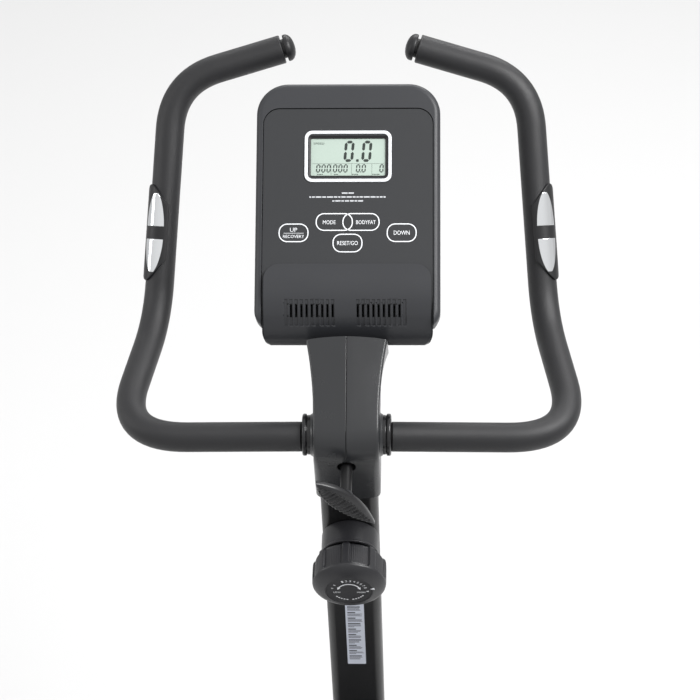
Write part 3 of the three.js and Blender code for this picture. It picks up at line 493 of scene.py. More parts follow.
saddle = on_grip(leaf(106, 44, 3.4, 15.9, 18.6), 57)
sensor_plates = [(label, on_grip(leaf(90, 22.6, 13, 16.6, 18.95, y0, y1, 0.7, 40, 30), 28))
                 for label, y0, y1 in (("upper", 7, 43.4), ("lower", -43.4, -7))]
for sign, name in SIDES:
    piece("sensor_saddle_" + name, on_side(sign, saddle), BLACK, HEAD, "handlebar", "pulse_housing_" + name,
          "dark", 30)
    for label, plate in sensor_plates:
        piece(f"sensor_{label}_{name}", on_side(sign, plate), CHROME, HEAD, "handlebar",
              f"pulse_plate_{label}_{name}", "chrome", 40)

ON_BAR = shift(0, BAR_OFFSET, BAR_OFFSET) @ QUARTER_Y
collar = turned([(14.6, 34.6), (20.4, 34.6), (21, 35.4), (21, 40.6), (20.5, 41.2), (20.6, 41.6), (21.2, 42),
                 (22, 42.5), (22.3, 43.3), (22.3, 45), (22, 45.9), (21.2, 46.5), (19.4, 46.9), (17, 46.9),
                 (16.6, 46.2), (14.6, 46.2)], 72, ring=True)
pair("collar", moved(collar, ON_BAR), GLOSS, HEAD, "frame", "bar_collar", "dark", 42)
flare = turned([(14.8, 33.6), (27, 33.6), (25.4, 34.3), (24.1, 34.9), (23, 35.8), (22.2, 36.9), (21.7, 38),
                (20.9, 38.3), (14.8, 38.3)], 72, ring=True)
pair("neck_flare", moved(flare, ON_BAR), NECK_PLASTIC, HEAD, "frame", (), "shell", 60)


# ---- neck cover ---------------------------------------------------------------------------------------
def at(along, away):
    """A point (y, z) of the head: along the post downwards, and away from its axis to the rider."""
    c, s = math.cos(math.radians(POST_LEAN)), math.sin(math.radians(POST_LEAN))
    return Vector((along * s - away * c, -along * c - away * s))


NOSE, FACE_ANGLE = 33.4, 36.2      # radius of the neck's nose about the bar; slope of its face above it
uphill, outward = Vector(polar(1, FACE_ANGLE)), Vector(polar(1, FACE_ANGLE + 90))


def nose(degrees):
    return Vector(polar(1, degrees)) * NOSE


# (front point, back point, half width, drop from the seam to the side, corner radius)
NECK = [(at(80, 23.4), at(80, -24), 32, 1.0, 7), (at(79.2, 25.2), at(79.6, -25.4), 33.6, 1.4, 7),
        (at(77, 26), at(77.5, -26), 34.7, 1.6, 7), (at(60, 27.6), at(60, -24.5), 34.9, 1.8, 7),
        (at(40, 29.6), at(44, -21), 34.9, 2.0, 7), (at(24, 31.2), at(34, -19), 34.9, 2.2, 7),
        (at(17, 31.8), at(30, -18), 34.9, 2.4, 6.5), (nose(200), Vector((50, -12)), 34.9, 2.6, 5.5),
        (nose(190), Vector((54, -10)), 34.6, 2.8, 5), (nose(178), Vector((58, -8)), 34.6, 3.0, 4.5),
        (nose(165), Vector((62, -6)), 34.7, 3.2, 4), (nose(152), Vector((66, -4)), 34.7, 3.4, 4),
        (nose(140), Vector((70, -1)), 34.7, 3.6, 3.6), (nose(126.2), Vector((75, 2)), 34.8, 3.8, 3.4)]
for t, w in ((12, 34.8), (30, 35.1), (44, 36), (58, 37.3), (70, 38.7), (80, 40.1), (90, 41.7), (97, 43)):
    NECK.append((outward * NOSE + uphill * t, Vector((75, 2)).lerp(Vector((98, 31)), t / 97), w, 3.8, 3.2))


def neck_half():
    """The right half of the neck's cover, from its bottom rim up to the console."""
    loops = []
    for front, back, w, drop, r in NECK:
        inward = (back - front).normalized()
        length = (back - front).length

        def point(x, deep):
            p = front + inward * deep
            return (x, p.x, p.y)

        row = [point(0.22, 1.0), point(0.4, 0.25), point(0.9, 0.02)]
        row += [point(0.15 + (w - r) * k / 6, drop * (k / 6) ** 1.15) for k in range(1, 6)]
        for k in range(7):
            a = math.pi / 2 * k / 6
            row.append(point(w - r + r * math.sin(a), drop + r * (1 - math.cos(a))))
        row += [point(w, length * 0.4), point(w, length * 0.7)]
        for k in range(5):
            a = math.pi / 2 * k / 4
            row.append(point(w - 6 + 6 * math.cos(a), length - 6 + 6 * math.sin(a)))
        row += [point(w * 0.5, length), point(0.22, length)]
        loops.append(row)
    w = NECK[-1][2]
    top = []
    for x, y, z in loops[-1]:
        lift = 3.6 * (1 - (x / w) ** 2) ** 0.6 if x < w else 0
        top.append((x, y + uphill.x * lift, z + uphill.y * lift))
    loops.append(top)
    return loft(loops)


def bar(r, x0, x1, y=0.0, z=0.0, sides=48):
    """A rod along x."""
    return loft([[(x, y + a, z + b) for a, b in circle(r, sides)] for x in (x0, x1)])


def rod(r, z0, z1, x=0.0, y=0.0, sides=48):
    return loft([[(x + a, y + b, z) for a, b in circle(r, sides)] for z in (z0, z1)])


def prism(outline, z0, z1):
    return loft([[(x, y, z) for x, y in outline] for z in (z0, z1)])


def up_post(outline, a0, a1):
    """A tube section (x, out) carried down the post from a0 to a1."""
    return loft([[(x, -a, z) for x, z in outline] for a in (a1, a0)])


for sign, name in SIDES:
    o = piece("neck_shell_" + name, on_side(sign, neck_half()), NECK_PLASTIC, HEAD, "frame",
              "neck_cover_" + name, "shell", 30)
    carve(o, [up_post(rounded(63.2, 41.2, 10.6), 20, 120), rod(10, -5, 60, 0, -10.5)], POST)
    carve(o, [bar(13.2, -60, 60)], HEAD)
    dress(o, NECK_PLASTIC, 30)


# ---- clamp lever --------------------------------------------------------------------------------------
def lever():
    """A leaf whose front is ribbed across inside a smooth upper rim; its lower edge is toothed."""
    half, rows, columns = 47.5, 260, 44
    loops = []
    for i in range(rows + 1):
        t = 0.004 + 0.992 * i / rows
        a = -half * (1 - t) ** 2 - 11.4 * 2 * t * (1 - t) + half * t * t
        w = 2 * t * (1 - t) * 28.5
        tip = min(1, 4.4 * min(t, 1 - t))
        thick = 2.0 + 4.0 * tip ** 0.7
        rib = max(0, math.cos(TAU * a / 5.4)) ** 0.7
        inside = max(0, min(1, (w - 4) / 3.5))
        row = []
        for k in range(columns):
            angle = TAU * k / columns
            c, s = math.cos(angle), math.sin(angle)
            x = math.copysign(abs(c) ** 0.75, c)
            z = math.copysign(abs(s) ** 0.6, s) * thick * (1 - 0.2 * x * x)
            edge = w * x
            if s > 0.05:
                reach = max(0, min(1, (0.58 - x) / 0.12, (x + 0.86) / 0.1)) * inside
                z -= (0.4 + 1.5 * (1 - rib)) * reach
            if x < -0.6:
                edge += 0.9 * (1 - rib) * inside * (-x - 0.6) / 0.4
            row.append((a, edge, z))
        loops.append(row)
    return moved(loft(loops), shift(0, -10.5, 77) @ turned_by(-51, "Z"))


piece("lever_leaf", lever(), LEVER, POST, "lever", "clamp_lever", "dark", 50)
stem = moved(turned([(5.2, 12), (5.2, 25), (5.8, 25.4), (6.1, 27), (6.1, 66), (5.6, 70), (0, 71)], 40),
             shift(0, -10.5, 0))
piece("lever_stem", stem, PAINT, POST, "lever", (), "dark")
boss = turned([(5.2, -4), (5.2, 0), (4.9, 1.8), (3.6, 3.6), (1.8, 4.4), (0, 4.6)], 32)
boss = moved(boss, shift(2.4, -3.4, 72) @ turned_by(-68, "X"))
piece("lever_boss", boss, SHELL, POST, "lever", (), "dark", 50)


# ---- tension control ----------------------------------------------------------------------------------
DIAL = POST @ shift(0, -157, 0)
cup = turned([(0, 34), (6, 34), (6, 45), (27, 45), (28.2, 47.2), (29.4, 48.3), (30.8, 48.5), (31.9, 47.8),
              (32.1, 46.6), (31.8, 45.6), (31.2, 44.9), (31.2, 22), (30.4, 20.4), (0, 20.4)], 80)
piece("tension_cup", cup, KNOB, DIAL, "frame", "tension_housing", "dark", 40)

# (height, radius)
KNOB_PROFILE = [(48.8, 24), (53.4, 24), (53.4, 33), (53.6, 36.6), (54.4, 38.2), (56, 39.4), (58, 39.9),
                (62, 40.1), (66, 40.2), (72, 40.2), (78, 40.2), (82, 40.1), (84, 39.5), (86, 38), (88, 35.4),
                (89.8, 32), (91.2, 28.4), (92, 26.4), (92.1, 25.8), (91.3, 25.4), (91.3, 24), (91.3, 0)]


def knob():
    """A dial with eight recessed, lined finger pads round its skirt."""
    sides = 432
    heights = []
    for (z0, r0), (z1, r1) in zip(KNOB_PROFILE, KNOB_PROFILE[1:]):
        steps = 5 if 60 < z1 <= 84.1 else 3 if 54.6 < z1 <= 60 else 1
        heights += [(z0 + (z1 - z0) * k / steps, r0 + (r1 - r0) * k / steps) for k in range(steps)]
    heights.append(KNOB_PROFILE[-1])
    loops = []
    for z, r in heights:
        row = []
        for k in range(sides):
            angle = TAU * k / sides
            q = (math.degrees(angle) - 4.5) % 45 - 22.5
            across = math.radians(q) * 38
            dx, dz = abs(across) - 11.6 + 5, z - 82.6 + 5
            far = math.hypot(max(dx, 0), max(dz, 0)) + min(max(dx, dz), 0) - 5
            deep = max(0, min(1, -far / 1.1)) if 30 < r and 53 < z < 85 else 0
            depth = 2.6 * deep * deep * (3 - 2 * deep)
            if far < -2.2:
                depth -= 0.36 * (0.5 + 0.5 * math.cos(TAU * across / 2.1))
            rr = max(r - depth, 0.01)
            row.append((rr * math.cos(angle), rr * math.sin(angle), z))
        loops.append(row)
    return loft(loops)


piece("dial_knob", knob(), KNOB, DIAL, "dial", "tension_knob", "dark", 52)


# ---- printing -----------------------------------------------------------------------------------------
def words(text, w, h, x, y, z, turn_by=0.0):
    """Text as a thin raised shape that fills a box w by h about (x, y)."""
    font = bpy.data.curves.new("words", "FONT")
    font.body, font.size, font.extrude, font.resolution_u = text, 10, 0.02, 3
    o = linked("words", font)
    mesh = applied(o)
    points = [v.co.copy() for v in mesh.vertices]
    faces = [tuple(f.vertices) for f in mesh.polygons]
    bpy.data.objects.remove(o)
    x0, x1 = min(p.x for p in points), max(p.x for p in points)
    y0, y1 = min(p.y for p in points), max(p.y for p in points)
    spin = Matrix.Translation((x, y, z)) @ Matrix.Rotation(turn_by, 4, "Z")
    return [spin @ Vector(((p.x - (x0 + x1) / 2) * w / (x1 - x0),
                           (p.y - (y0 + y1) / 2) * h / max(y1 - y0, 0.01), p.z * 3)) for p in points], faces


def band(points, width, z, thick=0.12, closed=False):
    """A flat printed line along 2-D points."""
    n = len(points)
    loops = []
    for i, (x, y) in enumerate(points):
        a, b = points[i - 1 if closed or i else 0], points[(i + 1) % n if closed or i + 1 < n else i]
        tx, ty = b[0] - a[0], b[1] - a[1]
        size = math.hypot(tx, ty) or 1
        ox, oy = -ty / size * width / 2, tx / size * width / 2
        loops.append([(x + ox, y + oy, z), (x + ox, y + oy, z + thick),
                      (x - ox, y - oy, z + thick), (x - ox, y - oy, z)])
    return loft(loops, ring=closed)


def box(x0, x1, y0, y1, z0, z1):
    return prism([(x0, y0), (x1, y0), (x1, y1), (x0, y1)], z0, z1)


def dash(x0, x1, y, h, z, thick=0.1):
    return box(x0, x1, y - h / 2, y + h / 2, z, z + thick)


def arc(r, a0, a1, steps=24):
    return [polar(r, a0 + (a1 - a0) * k / steps) for k in range(steps + 1)]


def head_at(r, degrees, heading, size, z):
    """An arrowhead at an angle on a circle."""
    cx, cy = polar(r, degrees)
    h = math.radians(heading)
    tip = [(cx + size * math.cos(h), cy + size * math.sin(h)),
           (cx + size * 0.7 * math.cos(h + 2.2), cy + size * 0.7 * math.sin(h + 2.2)),
           (cx + size * 0.7 * math.cos(h - 2.2), cy + size * 0.7 * math.sin(h - 2.2))]
    return prism(tip, z, z + 0.12)


TOP = 91.32                        # just over the dial's face
marks = [band(arc(12.2, 26, 154), 1.35, TOP), head_at(12.2, 21, -70, 3.2, TOP),
         head_at(12.2, 159, 250, 3.2, TOP)]
for i in range(8):
    a = 112 - 13.5 * i
    marks.append(words(str(i + 1), 2.0, 3.2, *polar(18.6, a), TOP, math.radians(a - 90)))
marks += [words("LOW", 7.8, 2.7, -13, -3.4, TOP), words("HIGH", 8.8, 2.7, 13, -3.4, TOP)]
marks += [band([polar(17.6, a), polar(20, a)], 0.8, TOP) for a in (146, 166)]
for i in range(11):
    a = 218 + 10.4 * i
    if i != 5:
        marks.append(band(arc(17.8, a, a + 6.4, 4), 1.3, TOP))
marks.append(head_at(20.4, -4, 176, 2.1, TOP))
piece("dial_marks", merge(*marks), PRINT, DIAL, "dial", (), "white", flat=True)
piece("dial_pointer", head_at(26.6, 10, 190, 3.4, 92.1), WHITE, DIAL, "dial", (), "white", flat=True)


# ---- post ---------------------------------------------------------------------------------------------
outer, inner = rounded(62, 40, 10, 10), rounded(57, 35, 7.5, 10)
post = loft([[(x, -660, z) for x, z in outer], [(x, -34.6, z) for x, z in outer],
             [(x * 0.99, -34, z * 0.99) for x, z in outer], [(x, -34, z) for x, z in inner],
             [(x, -660, z) for x, z in inner]], ring=True)
post = piece("post_tube", post, PAINT, POST, "frame", "front_post", "steel_paint", 50)
carve(post, [rod(5, 10, 40, 0, -157)], POST)
dress(post, PAINT, 50)
LABEL_X, LABEL_W = 0.8, 21.5
label = slab(rounded(LABEL_W, 205, 1.2, 4, LABEL_X, -327.5), 20.02, 20.12, 0.03)
piece("post_label", label, LABEL, POST, "frame", (), "white", flat=True)
lines = []
for i in range(16):
    y = -232 - 12.0 * i
    lines.append(dash(LABEL_X - 8.4, LABEL_X - 8.4 + (9 if i % 3 else 14.5), y, 2.4, 20.13, 0.04))
    for k in range(3):
        end = LABEL_X + 8.8 - random.uniform(0, 5 if k < 2 else 12)
        lines.append(dash(LABEL_X - 8.4, end, y - 3 - 2.0 * k, 0.95, 20.13, 0.04))
piece("post_label_dashes", merge(*lines), INK, POST, "frame", (), "dark", flat=True)


# ---- console ------------------------------------------------------------------------------------------
PROFILE = [(258, -1.0), (180, -1.0), (100, -1.0), (93, -0.95), (86, 0.4), (76, 3.4), (68.5, 4.7), (62, 5.0),
           (56, 4.8), (50, 4.0), (44, 2.5), (38, 0.4), (32, -2.3), (27, -5.5), (21.5, -9.4), (17, -13.5),
           (12.8, -18), (9.5, -22.5), (7.3, -27), (6, -32)]
EDGE = curve(PROFILE, 4)


def face_solid(edge, wall, half):
    """The face's side profile, carried across from -half to half."""
    inner_edge = []
    for i, (v, m) in enumerate(edge):
        a, b = edge[max(i - 1, 0)], edge[min(i + 1, len(edge) - 1)]
        dv, dn = b[0] - a[0], b[1] - a[1]
        size = math.hypot(dv, dn) or 1
        inner_edge.append((v - dn / size * wall, m + dv / size * wall))
    outline = list(edge) + inner_edge[::-1]
    columns = int(half / 1.5)
    return loft([[(-half + 2 * half * k / columns, v, m) for v, m in outline] for k in range(columns + 1)])


def slot_groove(x, w, v0, v1, above, below):
    """A cutter that follows the face between two heights."""
    return loft([[(x - w / 2, v, m - below), (x + w / 2, v, m - below), (x + w / 2, v, m + above),
                  (x - w / 2, v, m + above)] for v, m in EDGE if v0 <= v <= v1])


# Under the palm rest the plate stays flat, then drops away behind it.
FLAT = curve([(258, -1.0), (180, -1.0), (100, -1.0), (74, -1.0), (62, -1.0), (52, -1.3), (42, -2.6), (34, -5),
              (27, -8.6), (20, -14), (14, -20), (9.6, -26), (7.4, -33)], 4)
plate = face_solid(FLAT, 2.6, 90.5)
plate = piece("console_panel", plate, PANEL, CONSOLE, "frame", "console_face", "panel", 34)
carve(plate, [prism(rounded(181, 252, 17, 12, 0, 132, 11), -80, 40)], CONSOLE, keep=True)
KEYS = {"up": (-57.4, 121.5, 32, 20), "down": (57.4, 121.5, 32, 20), "mode": (-20.2, 133.3, 27, 19),
        "body": (20.2, 133.3, 27, 19), "reset": (0, 110.3, 32, 20)}


def key_outline(k, grow):
    x, y, w, h = k
    return rounded(w + grow, h + grow, (h + grow) * 0.42, 8, x, y)


cuts = [prism(rounded(84, 46, 3, 4, 0, 205.3), -10, 10)]
cuts += [prism(key_outline(k, 0.8), -10, 10) for k in KEYS.values()]
openings, grooves = [], []
for sign in (-1, 1):
    for i in range(10):
        x = sign * 38 - 2 + (i - 4.5) * 5.5
        grooves.append(slot_groove(x, 3.5, 22.5, 49, 6, 0.9))
        if (i, sign) not in ((0, -1), (9, 1)):
            openings.append(slot_groove(x, 2.3, 29.5, 44, 6, 12))
carve(plate, [merge(*cuts), merge(*grooves), merge(*openings)], CONSOLE)
dress(plate, PANEL, 40, 0.45)

# The palm rest swells out of the panel; its corners are rounded.
lower = [(v, m) for v, m in EDGE if v < 91.5]
rest = piece("console_palm_rest", face_solid(lower, 4.2, 90.3), LIP, CONSOLE, "frame", (), "panel", 34)
carve(rest, [prism(rounded(177, 82.4, 17, 14, 0, 46.6, 10), -80, 40)], CONSOLE, keep=True)
dress(rest, LIP, 34, 1.1)
bake(rest)
carve(rest, [merge(*grooves), merge(*openings)], CONSOLE)
dress(rest, LIP, 32)

case = piece("console_case", slab(rounded(197, 269, 34, 14, 0, 152.5, 20), -22, 0, 7, 0, 8), SHELL, CONSOLE,
             "frame", "console_housing", "shell", 34)
carve(case, [prism(rounded(182.4, 255.4, 17.7, 12, 0, 131.1, 11.7), -60, 10)], CONSOLE)
dress(case, SHELL, 34, 0.7)
tray = slab(rounded(194, 266, 32.5, 14, 0, 152.5, 18.5), -47.8, -22.4, 0.8, 9, 6)
tray = piece("console_tray", tray, SHELL, CONSOLE, "frame", "console_rear", "shell", 34)
screw_spots = [(x, y) for x in (-78, 78) for y in (52, 258)]
carve(tray, [prism(rounded(184, 258, 28, 8, 0, 152.5, 14), -44.5, -20), box(-91.2, 91.2, -20, 26, -47.2, 0)],
      CONSOLE)
screws = [rod(4, -50, -44.6, x, y, 24) for x, y in screw_spots]
vents = [prism(rounded(44, 2.6, 1.2, 4, 0, 214 + 6.5 * k), -50, -46.4) for k in range(6)]
carve(tray, [merge(*screws), merge(*vents)], CONSOLE)
dress(tray, SHELL, 34, 0.5)
door = slab(rounded(74, 52, 5, 6, 0, 110), -48.6, -47.4, 0.2, 0.5, 4)
piece("battery_door", door, SHELL, CONSOLE, "frame", (), "shell", 34)
screw = turned([(0, 0), (3.4, 0), (3.4, -1), (2.6, -1.7), (0, -1.9)], 24)
screws = merge(*[moved(screw, shift(x, y, -44.6)) for x, y in screw_spots])
piece("tray_screws", screws, STEEL, CONSOLE, "frame", (), "raw_steel", 40)

# Display: a white rim, a black bezel, the glass and its segments.
Y = 205.3                          # height of the display's middle
rim_out, rim_in = rounded(92.8, 56.4, 8, 8, 0, Y), rounded(86.2, 49.8, 5.4, 8, 0, Y)
rim = loft([[(x, y, -0.9) for x, y in rim_out], [(x, y, 0.2) for x, y in rim_out],
            [(x, y, 0.55) for x, y in inset(rim_out, 0.4)], [(x, y, 0.55) for x, y in inset(rim_in, -0.4)],
            [(x, y, 0.2) for x, y in rim_in], [(x, y, -1.4) for x, y in rim_in]], ring=True)
piece("display_rim", rim, WHITE, CONSOLE, "frame", "lcd_bezel", "white", 50)
frame_out, frame_in = rounded(86.4, 50, 5.4, 8, 0, Y), rounded(79.6, 41, 1.4, 8, 0, Y)
dark = loft([[(x, y, -3.4) for x, y in frame_out], [(x, y, -1.0) for x, y in frame_out],
             [(x, y, -3.2) for x, y in frame_in], [(x, y, -3.9) for x, y in frame_in]], ring=True)
piece("display_mask", dark, BLACK, CONSOLE, "frame", (), "dark", 30)
glass = slab(rounded(92, 54, 2, 4, 0, Y), -8.5, -4.2, 0.2)
piece("display_glass", glass, LCD, CONSOLE, "frame", "lcd_panel", "lcd")


def zero(x, y, w, h, t, lean=0.08):
    """A slanted seven-segment nought with its lower left corner at (x, y)."""
    parts, gap = [], t * 0.18
    for (x0, y0), (x1, y1) in (((0, h), (w, h)), ((w, h / 2), (w, h)), ((w, 0), (w, h / 2)),
                               ((0, 0), (w, 0)), ((0, 0), (0, h / 2)), ((0, h / 2), (0, h))):
        if y0 == y1:
            o = [(x0 + gap, y0), (x0 + gap + t / 2, y0 - t / 2), (x1 - gap - t / 2, y0 - t / 2),
                 (x1 - gap, y0), (x1 - gap - t / 2, y0 + t / 2), (x0 + gap + t / 2, y0 + t / 2)]
        else:
            o = [(x0, y0 + gap), (x0 + t / 2, y0 + gap + t / 2), (x0 + t / 2, y1 - gap - t / 2),
                 (x0, y1 - gap), (x0 - t / 2, y1 - gap - t / 2), (x0 - t / 2, y0 + gap + t / 2)]
        parts.append(prism([(x + a + b * lean, y + b) for a, b in o], Z, Z + 0.06))
    return merge(*parts)


Z = -4.16                          # just over the glass
big = [zero(-3.6, Y - 3.6, 7.4, 20.4, 3.0), zero(15.4, Y - 3.6, 7.4, 20.4, 3.0),
       prism(rounded(2.8, 2.8, 0.6, 3, 9.9, Y - 3.6), Z, Z + 0.06)]
small = []
for x0 in (-33.8, -28.2, -22.6, -15.8, -10.2, -4.6, 8.8, 14.8, 33.8):
    small.append(zero(x0, Y - 16.2, 3.2, 7.8, 1.25))
for x0 in (-8.3, 13.4):
    small.append(prism(rounded(1.1, 1.1, 0.2, 2, x0, Y - 16.2), Z, Z + 0.06))
piece("display_digits", merge(*big, *small), LCD_DARK, CONSOLE, "frame", (), "dark", flat=True)
tiny = [words("SPEED", 11.5, 2.2, -31.3, Y + 15.2, Z), band([(-38.5, Y - 7), (38.5, Y - 7)], 0.22, Z, 0.05)]
tiny += [band([(x0, Y - 7), (x0, Y - 19.5)], 0.22, Z, 0.05) for x0 in (-18.2, 3.6, 25.4)]
for x0, w in ((-33, 7), (-15, 6), (4.4, 7), (26, 9)):
    tiny += [dash(x0 + 1.6 * k, x0 + 1.6 * k + 1.1, Y - 18.9, 0.9, Z) for k in range(int(w / 1.6))]
piece("display_small_marks", merge(*tiny), LCD_DARK, CONSOLE, "frame", (), "dark", flat=True)

# Keys ride on their own bodies. Each has a printed ring and its word.
FACES = {"up": [("UP", 7.6, 4.4, -57.4, 124.8), ("RECOVERY", 22.5, 3.4, -57.4, 117.6)],
         "down": [("DOWN", 16.8, 4.6, 57.4, 121.5)], "mode": [("MODE", 13.4, 4.2, -19.6, 133.0)],
         "body": [("BODYFAT", 20.8, 4.2, 19.4, 133.0)], "reset": [("RESET/GO", 22.0, 4.4, 0, 110.3)]}
RING = 1.15
for name, k in KEYS.items():
    cap = slab(key_outline(k, 0.66), -5.5, -0.8, 0.15)
    piece("pad_" + name, cap, PANEL, CONSOLE, "press_" + name, "key_" + name, "panel", 34)
    shapes = [words(text, w, h, x, y, -0.79) for text, w, h, x, y in FACES[name]]
    if name == "up":
        shapes.append(dash(-68, -46.8, 121.1, 0.4, -0.79))
    if name in ("up", "down", "reset"):
        x, y, w, h = k
        shapes.append(band(rounded(30.7, 19.2, 8.6, 8, x, y), RING, -0.79, 0.1, True))
    piece("legend_" + name, merge(*shapes), PRINT, CONSOLE, "press_" + name, (), "white", flat=True)
rings = [band(rounded(38.4, 18.2, 8.3, 8, x, 133.3), RING, -0.79, 0.1, True) for x in (-14.2, 14.2)]
piece("key_rings", merge(*rings), PRINT, CONSOLE, "frame", (), "white", flat=True)
notes = []
for y, w in ((165.0, 13), (160.7, 82), (156.4, 33)):
    x0 = -w / 2
    while x0 < w / 2:
        x1 = min(w / 2, x0 + random.uniform(2, 6.5))
        notes.append(dash(x0, x1, y, 1.5, -0.98, 0.1))
        x0 = x1 + 0.9
piece("face_dashes", merge(*notes), DULL_PRINT, CONSOLE, "frame", (), "white", flat=True)


# ---- frame --------------------------------------------------------------------------------------------
def weld(points, r=2.6, closed=True):
    """A weld bead: a thin rippled tube along a line of points."""
    fine = curve(points, 4, closed)
    size = [1 + 0.16 * math.sin(i * 1.9) + random.uniform(-0.06, 0.06) for i in range(len(fine))]
    return sweep(fine, circle(r, 10), size, closed, caps=not closed)


def tube(outline, wall, ends, at):
    """A hollow tube; at(x, y, end) gives each point of its sections."""
    section = [(outline, end) for end in ends] + [(inset(outline, wall), end) for end in reversed(ends)]
    return loft([[at(x, y, end) for x, y in line] for line, end in section], ring=True)


beam = tube(rounded(52, 58, 5, 6, 0, 95), 3, (-446, -445.4, 397.4, 398), lambda x, z, y: (x, y, z))
piece("main_beam", beam, PAINT, BIKE, "frame", "main_frame", "steel_paint", 50)
plugs = [moved(slab(rounded(51, 57, 5, 6), 0, 5, 2.4, 0, 4), shift(0, y, 95) @ turned_by(degrees, "X"))
         for y, degrees in ((-446.2, 90), (398.2, -90))]
piece("beam_plugs", merge(*plugs), RUBBER, BIKE, "frame", (), "rubber", 40)

OVAL, OVAL_IN = rounded(66, 36, 12.96, 12), rounded(60, 30, 10.8, 12)
seat_tube = loft([[(x, y, z) for x, y in o] for o, z in ((OVAL, -18), (OVAL, 519.3), (inset(OVAL, 0.7), 520),
                                                         (OVAL_IN, 520), (OVAL_IN, -18))], ring=True)
seat_tube = piece("seat_tube", seat_tube, PAINT, SEAT, "frame", (), "steel_paint", 50)
PIN_AT = 484                       # height of the pull pin along the seat tube


def to_pin(shape, up=0):
    """Lays a shape drawn about z across the seat tube, at the pin or up from it."""
    return moved(shape, shift(0, 0, PIN_AT + up) @ QUARTER_X)


pin_hole = to_pin(rod(6, 0, 60))
carve(seat_tube, [pin_hole], SEAT)
dress(seat_tube, PAINT, 50)
boss_tube = to_pin(turned([(6.2, 17), (11, 17), (11, 29.4), (10.4, 30), (6.2, 30)], 40, ring=True))
piece("pin_boss", boss_tube, PAINT, SEAT, "frame", (), "steel_paint", 40)
lean = math.radians(SEAT_LEAN)
foot = []
for x, y in OVAL[::2]:
    rise_by = (124 - 112 - y * math.sin(lean)) / math.cos(lean)
    foot.append((x, y * math.cos(lean) - rise_by * math.sin(lean) - 130, 125.5))
piece("weld_seat_tube", weld(foot), PAINT, BIKE, "frame", (), "steel_paint", 60)

stub_top, stub_knee = at(550, 0) + Vector((40, 1115)), at(666, 0) + Vector((40, 1115))


def stub_shape(half, wide):
    a, b, c = stub_top, stub_knee, Vector((322, 86))
    line = [(a.x - half, a.y), (b.x - half, b.y - 8), (c.x - half * 1.5, 74), (c.x + half * 1.5, 74),
            (b.x + half, b.y + 8), (a.x + half, a.y + 6)]
    return sideways(([Vector((y, z, x)) for x in (-wide, wide) for y, z in line],
                     [tuple(range(6))[::-1], tuple(range(6, 12))] + [(i, (i + 1) % 6, (i + 1) % 6 + 6, i + 6)
                                                                      for i in range(6)]))


stub = piece("post_stub", stub_shape(14, 25), PAINT, BIKE, "frame", (), "steel_paint", 30, 4)
shell_tube = turned([(11.4, -36), (20.4, -36), (21, -35.2), (21, 9.2), (20.4, 10), (11.4, 10)], 56, ring=True)
CRANK_AXIS, CRANK_LENGTH, CRANK_ANGLE = (0, -20, 300), 160, -35
shell_tube = moved(shell_tube, shift(*CRANK_AXIS) @ QUARTER_Y)
piece("crank_shell", shell_tube, PAINT, BIKE, "frame", (), "steel_paint", 40)
brace = sideways(slab([(-35, 122), (-5, 122), (-6, 282), (-34, 282)], -17, 5, 1.2, 1.2))
piece("crank_brace", brace, PAINT, BIKE, "frame", (), "steel_paint", 30)
for x, name in ((-44, "left"), (38, "right")):
    fork = sideways(slab([(86, 122), (118, 122), (113, 312), (109, 318), (95, 318), (91, 312)], x, x + 4,
                         0.8, 0.8))
    piece("fork_" + name, fork, PAINT, BIKE, "frame", (), "steel_paint", 30)
foot_plate = box(-44, 42, 86, 118, 123.6, 128)
piece("fork_foot", foot_plate, PAINT, BIKE, "frame", (), "steel_paint", 30, 0.8)

FEET = ((372, "front"), (-430, "rear"))
AXLE_Y, AXLE_Z = 422, 31           # the transport wheels' axle
stabiliser = turned([(23, -206), (24.6, -206), (25, -205.6), (25, 205.6), (24.6, 206), (23, 206)], 64,
                    ring=True)
bolt = turned([(0, 0), (9, 0), (9, 1.4), (7, 2.4), (6.4, 5.8), (5.6, 6.8), (0, 6.8)], 6)
for y, name in FEET:
    o = piece("stabiliser_" + name, moved(stabiliser, shift(0, y, 40.5) @ QUARTER_Y), PAINT, BIKE, "frame",
              name + "_stabiliser", "steel_paint", 40)
    carve(o, [box(-26.6, 26.6, y - 40, y + 40, 65.7, 90)], BIKE)
    dress(o, PAINT, 40)
    bolts = merge(*[moved(bolt, shift(0, y + s, 124.0)) for s in (-17, 17)])
    piece("frame_bolts_" + name, bolts, STEEL, BIKE, "frame", (), "raw_steel", 20)
    bead = ((-24, 66.4), (-12, 65.6), (0, 65.4), (12, 65.6), (24, 66.4))
    beads = [weld([(s * 26.3, y + dy, z) for dy, z in bead], 1.8, False) for s in (-1, 1)]
    piece("weld_" + name, merge(*beads), PAINT, BIKE, "frame", (), "steel_paint", 60)

